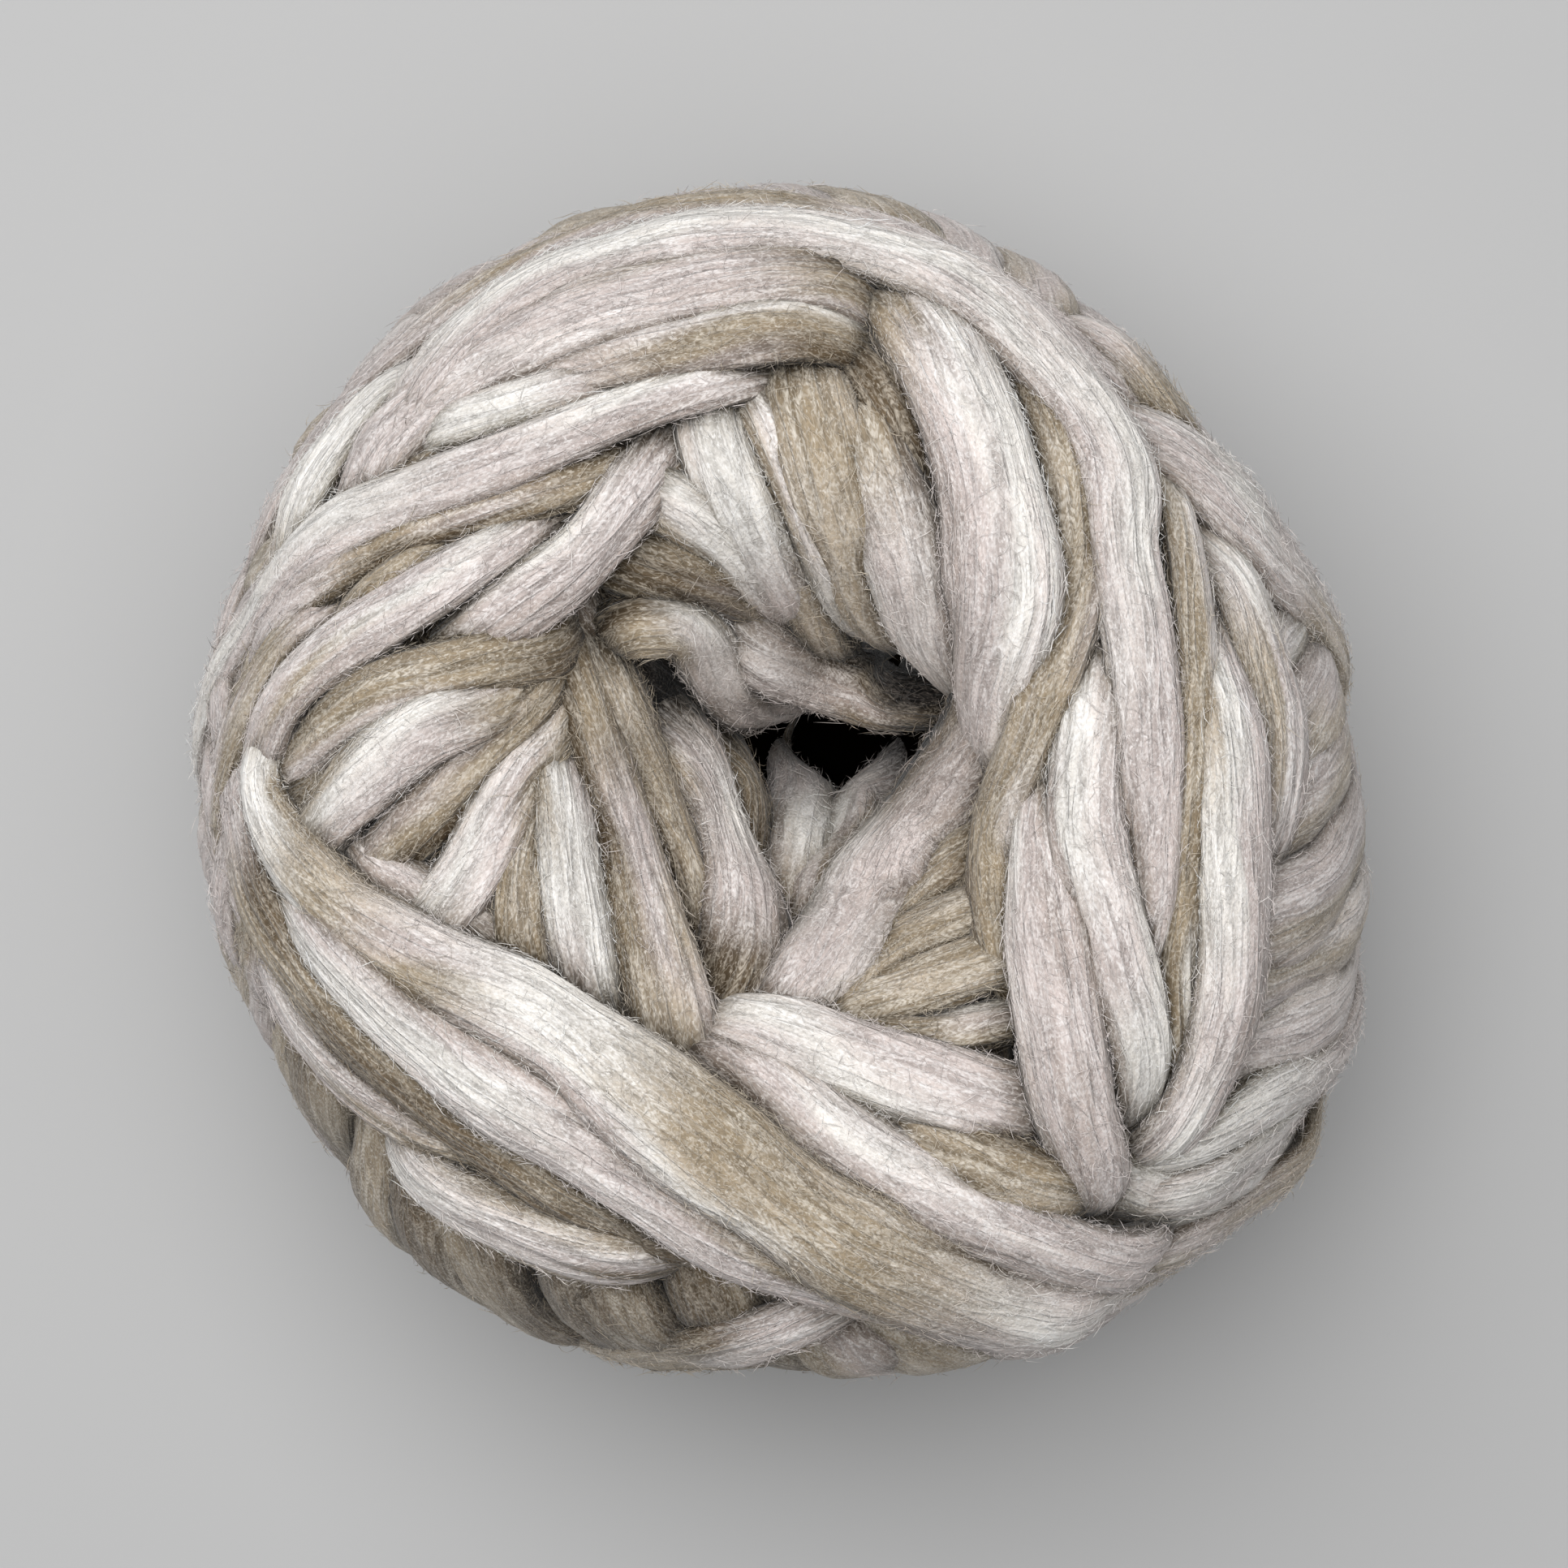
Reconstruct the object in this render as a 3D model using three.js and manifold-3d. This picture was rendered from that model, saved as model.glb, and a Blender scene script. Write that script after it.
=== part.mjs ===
// A centre-pull ball of chunky roving yarn: one solid of its wound form and main turns.
// Units are millimetres and +Z is up. The ball lies on its small flat spot, with the open well facing up.
import * as THREE from "three";
import { mergeVertices } from "three/addons/utils/BufferGeometryUtils.js";
import Module from "manifold-3d";

const wasm = await Module();
wasm.setup();

// Wound form. A share is a part of the outline's radius at the same bearing.
const EQUATOR_HEIGHT = 46;
const CREST_HEIGHT = 91;
const CREST_SHARE = 0.54;
const FOOT_HEIGHT = 3.1;
const FOOT_SHARE = 0.42;
const FLAT_SPOT_RADIUS = 11;

// The well narrows like a funnel, then runs on as a bore left by the winding pin.
const WELL_FLOOR_HEIGHT = 30;
const WELL_CENTRE = { x: 6, y: 3.5 };
const BORE_RADIUS = 6.5;
const BORE_FLOOR_HEIGHT = 24;
const BORE_TOP_HEIGHT = 78;

// Radius of the wound form at its widest, every 30 degrees counter-clockwise from +X.
const OUTLINE = [
  { bearing: 0, radius: 65 },
  { bearing: 30, radius: 62 },
  { bearing: 60, radius: 64.5 },
  { bearing: 90, radius: 67.5 },
  { bearing: 120, radius: 68 },
  { bearing: 150, radius: 65.5 },
  { bearing: 180, radius: 65.5 },
  { bearing: 210, radius: 65.5 },
  { bearing: 240, radius: 68 },
  { bearing: 270, radius: 66.5 },
  { bearing: 300, radius: 70.5 },
  { bearing: 330, radius: 69.5 },
];

// A soft strand lies flattened to this part of its width, and the body under it is a little lower.
const FLATNESS = 0.68;
const CORE_INSET = 0.6;
const END_TAPER = 0.55;

// How finely the form and the strands are divided.
const POINTS_PER_TURN = 3;
const STRAND_STEP = 14;
const STRAND_SIDES = 6;

// Turns that run down the side, and the turns underneath.
const SIDE_TURNS = 34;
const SIDE_GROOVE = 3;
const SIDE_SLANT = 24;
const UNDER_BANDS = 3;
const UNDER_WIDTH = 11;
const UNDER_OFFSETS = [14, 25];
const UNDER_REACH = 50;

// Turns of the upper end. Widths are at the start, middle and end.
// A route's stops are x, y and lift: how far the strand's middle stands off the wound form.
const TURNS = [
  // Inside the well, deepest first.
  {
    name: "deep_1",
    widths: [6, 6, 6],
    route: [
      [2, 7, -4], [2.5, 0.5, 0.5], [1, -8.5, 0.5], [0, -15.5, -3],
    ],
  },
  {
    name: "well_left_2",
    widths: [5.5, 6, 6],
    route: [
      [-24, 6.5, -4], [-24.5, -1.5, 0.5], [-22, -11.5, 1], [-20, -21, 0.5], [-17, -28, -5],
    ],
  },
  {
    name: "well_left_3",
    widths: [8, 9.5, 9],
    route: [
      [-22.5, 16, -4], [-21, 7.5, 1], [-17.5, -5, 1.5], [-13.5, -17, 1.5], [-8.5, -26.5, -4],
    ],
  },
  {
    name: "well_left_5",
    widths: [8, 10, 8],
    route: [
      [-15, 12, -4], [-11.5, 5, 1], [-6.5, -4, 1.5], [-2.5, -13, 1.5], [-3, -20.5, -1],
      [-6.5, -25.5, -4],
    ],
  },
  {
    name: "well_top_1",
    widths: [6.5, 7, 6],
    route: [
      [-8.5, 44.5, -4], [-7.5, 36.5, 1], [-4.5, 29, 1.5], [0, 21, 1], [3, 15, -4],
    ],
  },
  {
    name: "well_top_3",
    widths: [5.5, 5.5, 5],
    route: [
      [-21.5, 25.5, -4], [-14.5, 23, 0], [-4, 20.5, 0.5], [6.5, 15, 0], [14.5, 7.5, -4],
    ],
  },
  {
    name: "well_top_6",
    widths: [8, 8.5, 7],
    route: [
      [0.5, 49, -4], [2.5, 38, 1], [6, 27.5, 1.5], [10.5, 15.5, 0.5], [13, 9.5, -4],
    ],
  },
  {
    name: "well_top_7",
    widths: [8, 8, 7],
    route: [
      [5.5, 46, -4], [9, 36.5, 1], [13, 25, 1], [16.5, 13.5, 0.5], [19, 5, -4],
    ],
  },
  {
    name: "well_right_1",
    widths: [6, 9, 9.5],
    route: [
      [-5, -26.5, -4], [0.5, -21.5, 0.5], [9.5, -12, 1], [16.5, -5, 1], [25, 3, -4],
    ],
  },
  {
    name: "well_right_3",
    widths: [5, 5.5, 5.5],
    route: [
      [-2.5, -28, -4], [4.5, -23, 0.5], [12, -18, 1], [21.5, -13.5, 0.5], [27, -11, -4],
    ],
  },
  {
    name: "well_right_4",
    widths: [5, 5, 5],
    route: [
      [-1.5, -27.5, -4], [6.5, -24.5, 0.5], [14, -22, 1], [23, -18.5, 0], [29, -16, -4],
    ],
  },
  // Loose loops that lie over the bore.
  {
    name: "loop_1",
    widths: [5, 5.5, 5],
    route: [
      [-21, 14.5, -3], [-15.5, 17.5, 4], [-9, 16.5, 5], [-6.5, 11, 3], [-7.5, 6, -2],
    ],
  },
  {
    name: "loop_3",
    widths: [8, 9.5, 8],
    route: [
      [-7, 21.5, -3], [-2.5, 17, 4], [4, 13.5, 7.5], [11, 10.5, 7.5], [17, 8, -3],
    ],
  },
  // The band over the left and top.
  {
    name: "left_edge",
    widths: [7, 7, 6],
    route: [
      [-43, 46, -6], [-29, 55, 0], [-15, 60, 0.5], [-0.5, 61.5, 0.5], [11, 59.5, -1],
      [17, 56, -6],
    ],
  },
  {
    name: "left_1",
    widths: [9, 9.5, 9],
    route: [
      [-50, 27.5, -6], [-42.5, 35.5, 1.5], [-26.5, 45.5, 2.5], [-7.5, 51.5, 2.5],
      [5.5, 52.5, 1.5], [14, 50.5, -6],
    ],
  },
  {
    name: "left_2",
    widths: [6, 6.5, 6.5],
    route: [
      [-35.5, 38.5, -3], [-25.5, 41.5, 1.5], [-9, 46.5, 2], [3, 47.5, 1.5], [12.5, 46, -4],
    ],
  },
  {
    name: "left_4",
    widths: [7, 7.5, 7],
    route: [
      [-58, 17, -6], [-47.5, 25.5, 2], [-29.5, 32, 3], [-11.5, 39.5, 3], [-1.5, 43, 2],
      [7, 44.5, -4],
    ],
  },
  {
    name: "left_5",
    widths: [7, 7, 6.5],
    route: [
      [-59, 13.5, -6], [-51, 19.5, 1.5], [-32.5, 28, 2], [-19.5, 32.5, 1.5], [-10, 37.5, -4],
    ],
  },
  {
    name: "left_6",
    widths: [6, 6.5, 6],
    route: [
      [-57, 0.5, -6], [-51, 10, 2], [-36.5, 20, 3], [-23, 28, 2.5], [-15, 33, 1],
      [-10, 36.5, -4],
    ],
  },
  {
    name: "left_7",
    widths: [7, 8, 7],
    route: [
      [-40, 11.5, -4], [-31.5, 17, 1], [-22, 23, 2], [-16, 28.5, 1.5], [-12, 35, -3],
    ],
  },
  {
    name: "left_8",
    widths: [6.5, 7, 6],
    route: [
      [-52, 3, -6], [-43.5, 8.5, 1], [-31.5, 13, 1.5], [-23, 16, 0.5], [-17, 19, -4],
    ],
  },
  {
    name: "left_9",
    widths: [7, 7.5, 6],
    route: [
      [-52, -9, -6], [-45.5, -1.5, 1.5], [-37.5, 5.5, 2], [-30, 9, 1], [-22.5, 14.5, -4],
    ],
  },
  {
    name: "left_11",
    widths: [6, 6, 5.5],
    route: [
      [-38.5, -16, -4], [-33.5, -8.5, 0.5], [-28.5, 0.5, 1], [-24, 7, 0], [-21, 13.5, -4],
    ],
  },
  // The long turn that arches over the top into the right band.
  {
    name: "top_arch",
    widths: [9, 8.5, 5],
    route: [
      [-48, 28.5, -6], [-40.5, 38, 2], [-28.5, 51, 3], [-11, 57, 2.5], [10, 56, 2.5],
      [25.5, 50, 2.5], [36, 34, 3], [38, 14, 2.5], [39, -3, 1.5], [37, -14, -3],
    ],
  },
  // The band down the right.
  {
    name: "right_1",
    widths: [8, 12, 7],
    route: [
      [9, 56, -6], [12.5, 49, 2], [18.5, 34.5, 3.5], [23.5, 19.5, 3.5], [21, 6.5, 1],
      [19, -2, -5],
    ],
  },
  {
    name: "right_2",
    widths: [6, 7.5, 6.5],
    route: [
      [18.5, 52, -5], [25.5, 41, 1.5], [31, 23.5, 2.5], [27, 8, 3], [23, -6.5, 2.5],
      [23.5, -19.5, 0], [25.5, -25.5, -4],
    ],
  },
  {
    name: "right_3",
    widths: [7, 10.5, 8],
    route: [
      [27.5, 6.5, -3], [27, -3, 2], [28, -17.5, 3.5], [29.5, -32, 3.5], [32.5, -44.5, 1],
      [34, -51.5, -6],
    ],
  },
  {
    name: "right_4",
    widths: [5, 7.5, 5],
    route: [
      [35, 17.5, -3], [32.5, 7.5, 1.5], [32, -4, 2.5], [35, -19.5, 2.5], [38.5, -29.5, 1.5],
      [37, -39.5, -6],
    ],
  },
  {
    name: "right_5",
    widths: [5, 6, 5],
    route: [
      [37.5, 43, -6], [41, 30, 1.5], [43, 10, 2], [42.5, -7.5, 1.5], [41, -20, 0.5],
      [41, -30.5, -6],
    ],
  },
  {
    name: "right_6",
    widths: [6, 6.5, 6],
    route: [
      [43, 24, -3], [46, 9, 1.5], [47.5, -8, 2], [46.5, -24.5, 2], [41, -37.5, 0.5],
      [37, -44, -6],
    ],
  },
  {
    name: "right_8",
    widths: [6, 6.5, 6],
    route: [
      [27, 55, -6], [33.5, 49.5, 0.5], [40.5, 42.5, 1], [45, 34, 0], [47, 27, -6],
    ],
  },
  {
    name: "corner_2",
    widths: [6, 7, 6],
    route: [
      [36, -46.5, -3], [43.5, -44, 0.5], [51, -40, 0], [57, -36, -6],
    ],
  },
  // The band across the front, on top of the others.
  {
    name: "front_8",
    widths: [6, 7, 6],
    route: [
      [5.5, -33.5, -4], [12.5, -36.5, 1], [21.5, -39.5, 1.5], [29.5, -42.5, 0], [36, -46, -6],
    ],
  },
  {
    name: "front_7",
    widths: [8, 9.5, 9],
    route: [
      [-14.5, -21.5, -4], [-6.5, -28.5, 1], [5.5, -36.5, 2], [23.5, -45, 2], [35, -49.5, 0.5],
      [42, -52, -6],
    ],
  },
  {
    name: "front_6",
    widths: [7, 8, 7.5],
    route: [
      [-13.5, -21.5, -4], [-6, -25, 1], [9.5, -30.5, 2], [22.5, -34, 1.5], [32, -36.5, -4],
    ],
  },
  {
    name: "front_5",
    widths: [6.5, 7, 6],
    route: [
      [-45, -35.5, -6], [-39, -40.5, 1], [-28.5, -46, 1.5], [-16, -49.5, 1], [-6, -51.5, -6],
    ],
  },
  {
    name: "front_3",
    widths: [6, 6.5, 6],
    route: [
      [-59, -3, -6], [-54.5, -13, 1.5], [-43, -27, 2], [-24.5, -41, 1.5], [-10, -48.5, 0],
      [-2.5, -52.5, -6],
    ],
  },
  {
    name: "front_2",
    widths: [8, 9.5, 8],
    route: [
      [-56, -7.5, -6], [-48, -17, 2.5], [-34, -30.5, 3.5], [-17, -41.5, 3.5], [1, -50.5, 3],
      [22, -56, 1], [32, -56.5, -6],
    ],
  },
  {
    name: "front_1",
    widths: [7, 11.5, 9],
    route: [
      [-56, 10, -6], [-56.5, -0.5, 2], [-49, -12, 3.5], [-26, -24.5, 4.5], [-9, -37, 4.5],
      [8, -47.5, 4], [27.5, -55, 2.5], [38, -54, -6],
    ],
  },
];

const UP = new THREE.Vector3(0, 0, 1);
const radians = THREE.MathUtils.degToRad;

// The outline's radius at any bearing, smooth through the table's rows.
function outlineRadius(bearing) {
  const step = 360 / OUTLINE.length;
  const turn = THREE.MathUtils.euclideanModulo(THREE.MathUtils.radToDeg(bearing), 360) / step;
  const row = Math.floor(turn);
  const part = turn - row;
  const [before, here, next, after] = [-1, 0, 1, 2].map(
    (offset) => OUTLINE[(row + offset + OUTLINE.length) % OUTLINE.length].radius,
  );
  const curve = 3 * (here - next) + after - before;
  const bend = 2 * before - 5 * here + 4 * next - after + part * curve;
  return here + 0.5 * part * (next - before + part * bend);
}

// A point of the rounded side with its outward direction. The angle is 90 at the crest and -90 at the foot.
function sidePoint(bearing, angle) {
  const radius = outlineRadius(bearing);
  const upper = angle >= 0;
  const innerShare = upper ? CREST_SHARE : FOOT_SHARE;
  const rise = upper ? CREST_HEIGHT - EQUATOR_HEIGHT : EQUATOR_HEIGHT - FOOT_HEIGHT;
  const bulge = (1 - innerShare) * radius;
  const reach = innerShare * radius + bulge * Math.cos(angle);
  const along = new THREE.Vector3(Math.cos(bearing), Math.sin(bearing), 0);
  const out = along.clone().multiplyScalar(Math.cos(angle) / bulge);
  out.z = Math.sin(angle) / rise;
  const point = along.multiplyScalar(reach);
  point.z = EQUATOR_HEIGHT + rise * Math.sin(angle);
  return { point, out: out.normalize() };
}

// A point of the upper end over x and y: the outer slope past the crest, or the funnel of the well.
function topPoint(x, y) {
  const bearing = Math.atan2(y, x);
  const radius = outlineRadius(bearing);
  const pull = Math.max(0, 1 - Math.hypot(x, y) / radius / CREST_SHARE);
  const fromWell = new THREE.Vector3(x - WELL_CENTRE.x * pull, y - WELL_CENTRE.y * pull, 0);
  const share = fromWell.length() / radius;
  if (share >= CREST_SHARE) {
    const part = Math.min(0.985, (share - CREST_SHARE) / (1 - CREST_SHARE));
    const side = sidePoint(bearing, Math.acos(part));
    return { point: new THREE.Vector3(x, y, side.point.z), out: side.out, inWell: false };
  }
  const part = share / CREST_SHARE;
  const depth = CREST_HEIGHT - WELL_FLOOR_HEIGHT;
  const slope = (2 * depth * (1 - part)) / (CREST_SHARE * radius);
  const out = fromWell.setLength(-slope);
  out.z = 1;
  const height = WELL_FLOOR_HEIGHT + depth * (1 - (1 - part) ** 2);
  return { point: new THREE.Vector3(x, y, height), out: out.normalize(), inWell: true };
}

// A point of the underside below x and y, with its way out downwards.
function underPoint(x, y) {
  const bearing = Math.atan2(y, x);
  const share = Math.hypot(x, y) / outlineRadius(bearing);
  const part = THREE.MathUtils.clamp((share - FOOT_SHARE) / (1 - FOOT_SHARE), 0, 0.985);
  const side = sidePoint(bearing, -Math.acos(part));
  return { point: new THREE.Vector3(x, y, side.point.z), out: side.out };
}

// A closed solid from points and triangles.
function solidOf(points, triangles) {
  const geometry = new THREE.BufferGeometry().setFromPoints(points);
  geometry.setIndex(triangles);
  return solidOfGeometry(geometry);
}

function solidOfGeometry(geometry) {
  geometry.deleteAttribute("normal");
  geometry.deleteAttribute("uv");
  const merged = mergeVertices(geometry, 1e-4);
  const corners = merged.index.array;
  const kept = [];
  for (let i = 0; i < corners.length; i += 3) {
    const [a, b, c] = corners.slice(i, i + 3);
    if (a !== b && b !== c && c !== a) kept.push(a, b, c);
  }
  return new wasm.Manifold(
    new wasm.Mesh({
      numProp: 3,
      vertProperties: merged.attributes.position.array,
      triVerts: new Uint32Array(kept),
    }),
  );
}

// Skins rings of equal length, one after another, and closes both ends at a middle point.
function skin(rings, startMiddle, endMiddle) {
  const sides = rings[0].length;
  const points = [...rings.flat(), startMiddle, endMiddle];
  const start = points.length - 2;
  const end = points.length - 1;
  const last = (rings.length - 1) * sides;
  const triangles = [];
  for (let side = 0; side < sides; side++) {
    const next = (side + 1) % sides;
    for (let ring = 0; ring + 1 < rings.length; ring++) {
      const low = ring * sides;
      const high = low + sides;
      triangles.push(low + side, low + next, high + next, low + side, high + next, high + side);
    }
    triangles.push(start, next, side, end, last + side, last + next);
  }
  return solidOf(points, triangles);
}

// One strand: a flattened section carried along its stops, each with its way out of the ball.
function strand(stops, widths) {
  const curve = new THREE.CatmullRomCurve3(stops.map((stop) => stop.point), false, "centripetal");
  const steps = Math.max(4, Math.round(curve.getLength() / STRAND_STEP));
  const rings = [];
  const middles = [];
  for (let step = 0; step <= steps; step++) {
    const share = step / steps;
    const middle = curve.getPointAt(share);
    const along = curve.getTangentAt(share);
    const place = curve.getUtoTmapping(share) * (stops.length - 1);
    const stop = Math.min(Math.floor(place), stops.length - 2);
    const out = stops[stop].out.clone().lerp(stops[stop + 1].out, place - stop);
    const across = along.clone().cross(out).normalize();
    const up = across.clone().cross(along).normalize();
    const half = share < 0.5 ? 0 : 1;
    const width = THREE.MathUtils.lerp(widths[half], widths[half + 1], share * 2 - half);
    const ends = step === 0 || step === steps ? END_TAPER : 1;
    const ring = [];
    for (let side = 0; side < STRAND_SIDES; side++) {
      const angle = (side / STRAND_SIDES) * 2 * Math.PI;
      const wide = (Math.cos(angle) * width * ends) / 2;
      const thick = (Math.sin(angle) * width * ends * FLATNESS) / 2;
      ring.push(middle.clone().addScaledVector(across, -wide).addScaledVector(up, thick));
    }
    rings.push(ring);
    middles.push(middle);
  }
  return skin(rings, middles[0], middles[steps]);
}

// How far a turn of the side stands out at one of the points across it: low in the groove beside it.
function sideRidge(index, angle) {
  const turn = Math.floor(index / POINTS_PER_TURN);
  const uneven = 0.7 * Math.sin(turn * 3.1) + 0.5 * Math.sin(turn * 1.3 + angle * 0.04);
  const fade = Math.max(0, Math.cos(radians(angle))) ** 0.5;
  return (index % POINTS_PER_TURN === 0 ? -SIDE_GROOVE : uneven) * fade - CORE_INSET * (1 - fade);
}

// A ring of points round the ball, one for each bearing. A coarse ring holds one point for each turn.
function ringOf(coarse, pointAt) {
  const count = SIDE_TURNS * POINTS_PER_TURN;
  const ring = Array.from({ length: count }, (_, i) => {
    const index = coarse ? i - (i % POINTS_PER_TURN) : i;
    return pointAt((index / count) * 2 * Math.PI, index);
  });
  return ring.reverse();
}

// The wound form under the strands: the funnel of the well, the turns down the side and the bore.
function core() {
  const funnelShares = [0.12, 0.35, 0.65];
  const sideAngles = [86, 62, 42, 22, 2, -18, -38, -58, -78];
  const rings = funnelShares.map((part) =>
    ringOf(true, (bearing) => {
      const reach = outlineRadius(bearing) * CREST_SHARE * part;
      const pull = 1 - part;
      const x = Math.cos(bearing) * reach + WELL_CENTRE.x * pull;
      const y = Math.sin(bearing) * reach + WELL_CENTRE.y * pull;
      const { point, out } = topPoint(x, y);
      return point.addScaledVector(out, -CORE_INSET);
    }),
  );
  for (const angle of sideAngles)
    rings.push(
      ringOf(angle > 80, (bearing, index) => {
        const leaning = bearing - radians((SIDE_SLANT * angle) / 90);
        const { point, out } = sidePoint(leaning, radians(angle));
        return point.addScaledVector(out, sideRidge(index, angle));
      }),
    );
  const flatSpot = (bearing) =>
    new THREE.Vector3(Math.cos(bearing) * FLAT_SPOT_RADIUS, Math.sin(bearing) * FLAT_SPOT_RADIUS, 0);
  rings.push(ringOf(true, flatSpot));
  const floor = new THREE.Vector3(WELL_CENTRE.x, WELL_CENTRE.y, WELL_FLOOR_HEIGHT);
  const form = skin(rings, floor, new THREE.Vector3(0, 0, 0));
  const boreHeight = BORE_TOP_HEIGHT - BORE_FLOOR_HEIGHT;
  const bore = new THREE.CylinderGeometry(BORE_RADIUS, BORE_RADIUS, boreHeight, 16).rotateX(Math.PI / 2);
  bore.translate(WELL_CENTRE.x, WELL_CENTRE.y, BORE_FLOOR_HEIGHT + boreHeight / 2);
  return form.subtract(solidOfGeometry(bore));
}

// Each turn of the upper end, standing off the wound form by its lifts, straight up over the well's wall.
function topTurns() {
  return TURNS.map(({ widths, route }) => {
    const stops = route.map(([x, y, lift]) => {
      const { point, out, inWell } = topPoint(x, y);
      return { point: point.addScaledVector(inWell && lift > 0 ? UP : out, lift), out };
    });
    return strand(stops, widths);
  });
}

// Turns underneath, in bands that cross like a pinwheel round the middle.
function underTurns() {
  return Array.from({ length: UNDER_BANDS }, (_, band) =>
    UNDER_OFFSETS.map((offset) => {
      const reach = Math.sqrt(UNDER_REACH ** 2 - offset ** 2);
      const stops = [-1, -0.4, 0.2, 0.7, 1].map((part) => {
        const flat = new THREE.Vector3(reach * part, offset, 0);
        flat.applyAxisAngle(UP, (band / UNDER_BANDS) * 2 * Math.PI);
        const { point, out } = underPoint(flat.x, flat.y);
        return { point: point.addScaledVector(out, Math.abs(part) === 1 ? -3 : 0), out };
      });
      return strand(stops, [UNDER_WIDTH * 0.8, UNDER_WIDTH, UNDER_WIDTH * 0.8]);
    }),
  ).flat();
}

// Joins the strands to the wound form, presses the flat spot, and fills what is sealed inside.
function woundBall() {
  let ball = core();
  for (const turn of [...underTurns(), ...topTurns()]) ball = ball.add(turn);
  const ground = new THREE.BoxGeometry(300, 300, 100).translate(0, 0, -50);
  ball = ball.subtract(solidOfGeometry(ground));
  const bodies = ball.decompose().sort((a, b) => b.volume() - a.volume());
  return bodies[0];
}

// A ball's mesh, moved so that it stands on the origin at the middle of its outline.
function meshOf(solid, name, material) {
  const { numProp, vertProperties, triVerts } = solid.getMesh();
  const geometry = new THREE.BufferGeometry();
  geometry.setAttribute("position", new THREE.BufferAttribute(vertProperties, numProp));
  geometry.setIndex(new THREE.BufferAttribute(triVerts, 1));
  geometry.computeBoundingBox();
  const middle = geometry.boundingBox.getCenter(new THREE.Vector3());
  geometry.translate(-middle.x, -middle.y, -geometry.boundingBox.min.z);
  geometry.computeVertexNormals();
  const mesh = new THREE.Mesh(geometry, material);
  mesh.name = name;
  return mesh;
}

const yarn = new THREE.MeshStandardMaterial({ color: 0xc4b9b2, roughness: 0.95, metalness: 0 });
const ball = new THREE.Group();
ball.name = "chunky_yarn";
ball.add(meshOf(woundBall(), "wound_yarn", yarn));
export default ball;
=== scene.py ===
"""Looks of the ball of chunky roving yarn: its strands, their shades and the fuzz that stands off them.

The tables are in millimetres. Every mesh is in metres, in the part's own frame.
"""

import logging
import math
from dataclasses import dataclass
from enum import Enum
from functools import lru_cache

import bmesh
import bpy
import numpy as np
from mathutils.bvhtree import BVHTree
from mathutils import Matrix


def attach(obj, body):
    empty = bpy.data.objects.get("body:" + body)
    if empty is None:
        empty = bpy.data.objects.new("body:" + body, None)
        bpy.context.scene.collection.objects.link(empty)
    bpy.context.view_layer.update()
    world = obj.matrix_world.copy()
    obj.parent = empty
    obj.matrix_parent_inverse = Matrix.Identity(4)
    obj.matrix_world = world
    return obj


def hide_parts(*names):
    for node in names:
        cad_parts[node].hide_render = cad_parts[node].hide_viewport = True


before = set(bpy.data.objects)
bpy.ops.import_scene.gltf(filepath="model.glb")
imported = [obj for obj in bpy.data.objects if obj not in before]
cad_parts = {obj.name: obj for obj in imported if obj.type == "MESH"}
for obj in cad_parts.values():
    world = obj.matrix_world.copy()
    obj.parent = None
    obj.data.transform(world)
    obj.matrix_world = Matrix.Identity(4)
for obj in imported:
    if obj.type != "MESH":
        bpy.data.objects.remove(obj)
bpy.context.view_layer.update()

LOG = logging.getLogger("chunky_yarn")
Array = np.ndarray
Socket = bpy.types.NodeSocket
Span = tuple[float, float, float, float]
Streak = tuple[float, float]

# Millimetres to metres, and how far the part stands from the tables' own middle.
MM = 0.001
ROW_SHIFT = np.array((-0.02, 0.26, 0.0))

BODY = "root"
NODE = "wound_yarn"
COLOUR_NAME = "yarn_colour"
PLACE_NAME = "strand_place"
UP = np.array((0.0, 0.0, 1.0))

# How a shade of 255 is written on a screen.
SCREEN_GAMMA = 2.2
SCREEN_WHITE = 255.0


class Layer(Enum):
    """The bands of turns that make up the ball."""

    BEDDING = "bedding"
    WELL = "well"
    LEFT = "left"
    RIGHT = "right"
    FRONT = "front"
    SIDE = "side"
    UNDER = "under"


class Shade(Enum):
    """The shades of the roving: a letter for the tables, then red, green and blue of 255."""

    # Dyed shades; the tables also use GREY and DARK as painted shade where a turn runs into shade.
    WHITE = ("W", 243, 238, 231)
    PALE = ("P", 228, 218, 212)
    LILAC = ("L", 213, 200, 195)
    GREY = ("G", 185, 171, 164)
    BEIGE = ("B", 190, 175, 155)
    TAUPE = ("T", 163, 147, 124)
    DARK = ("D", 110, 95, 76)
    # Painted shadow, for the hole and the deepest creases.
    SHADOW = ("S", 20, 17, 15)

    @property
    def linear(self) -> Array:
        """The shade as the linear colour that a material takes."""
        return np.array(self.value[1:]) ** SCREEN_GAMMA / SCREEN_WHITE**SCREEN_GAMMA

    @classmethod
    def of(cls, letter: str) -> "Shade":
        """The shade with that letter."""
        return next(shade for shade in cls if shade.value[0] == letter)


@dataclass(frozen=True)
class Turn:
    """One turn of the upper end.

    Attributes:
        name: what the turn is called.
        widths: its width at the start, middle and end.
        stripes: for each stop, the shades from the strand's left edge to its right edge.
        route: its stops, each x, y and how far the strand's middle stands off the wound form.
        tails: how far it runs on down the side past its first and its last stop.
    """

    name: str
    widths: tuple[float, float, float]
    stripes: str
    route: tuple[tuple[float, float, float], ...]
    tails: tuple[float, float] = (0, 0)


# In the stripes, S is painted shadow, and D and G are in part painted shade: they darken turns where they
# run into a crease, under another turn or down into the hole, and along some edges on the right away from
# the light.
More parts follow.
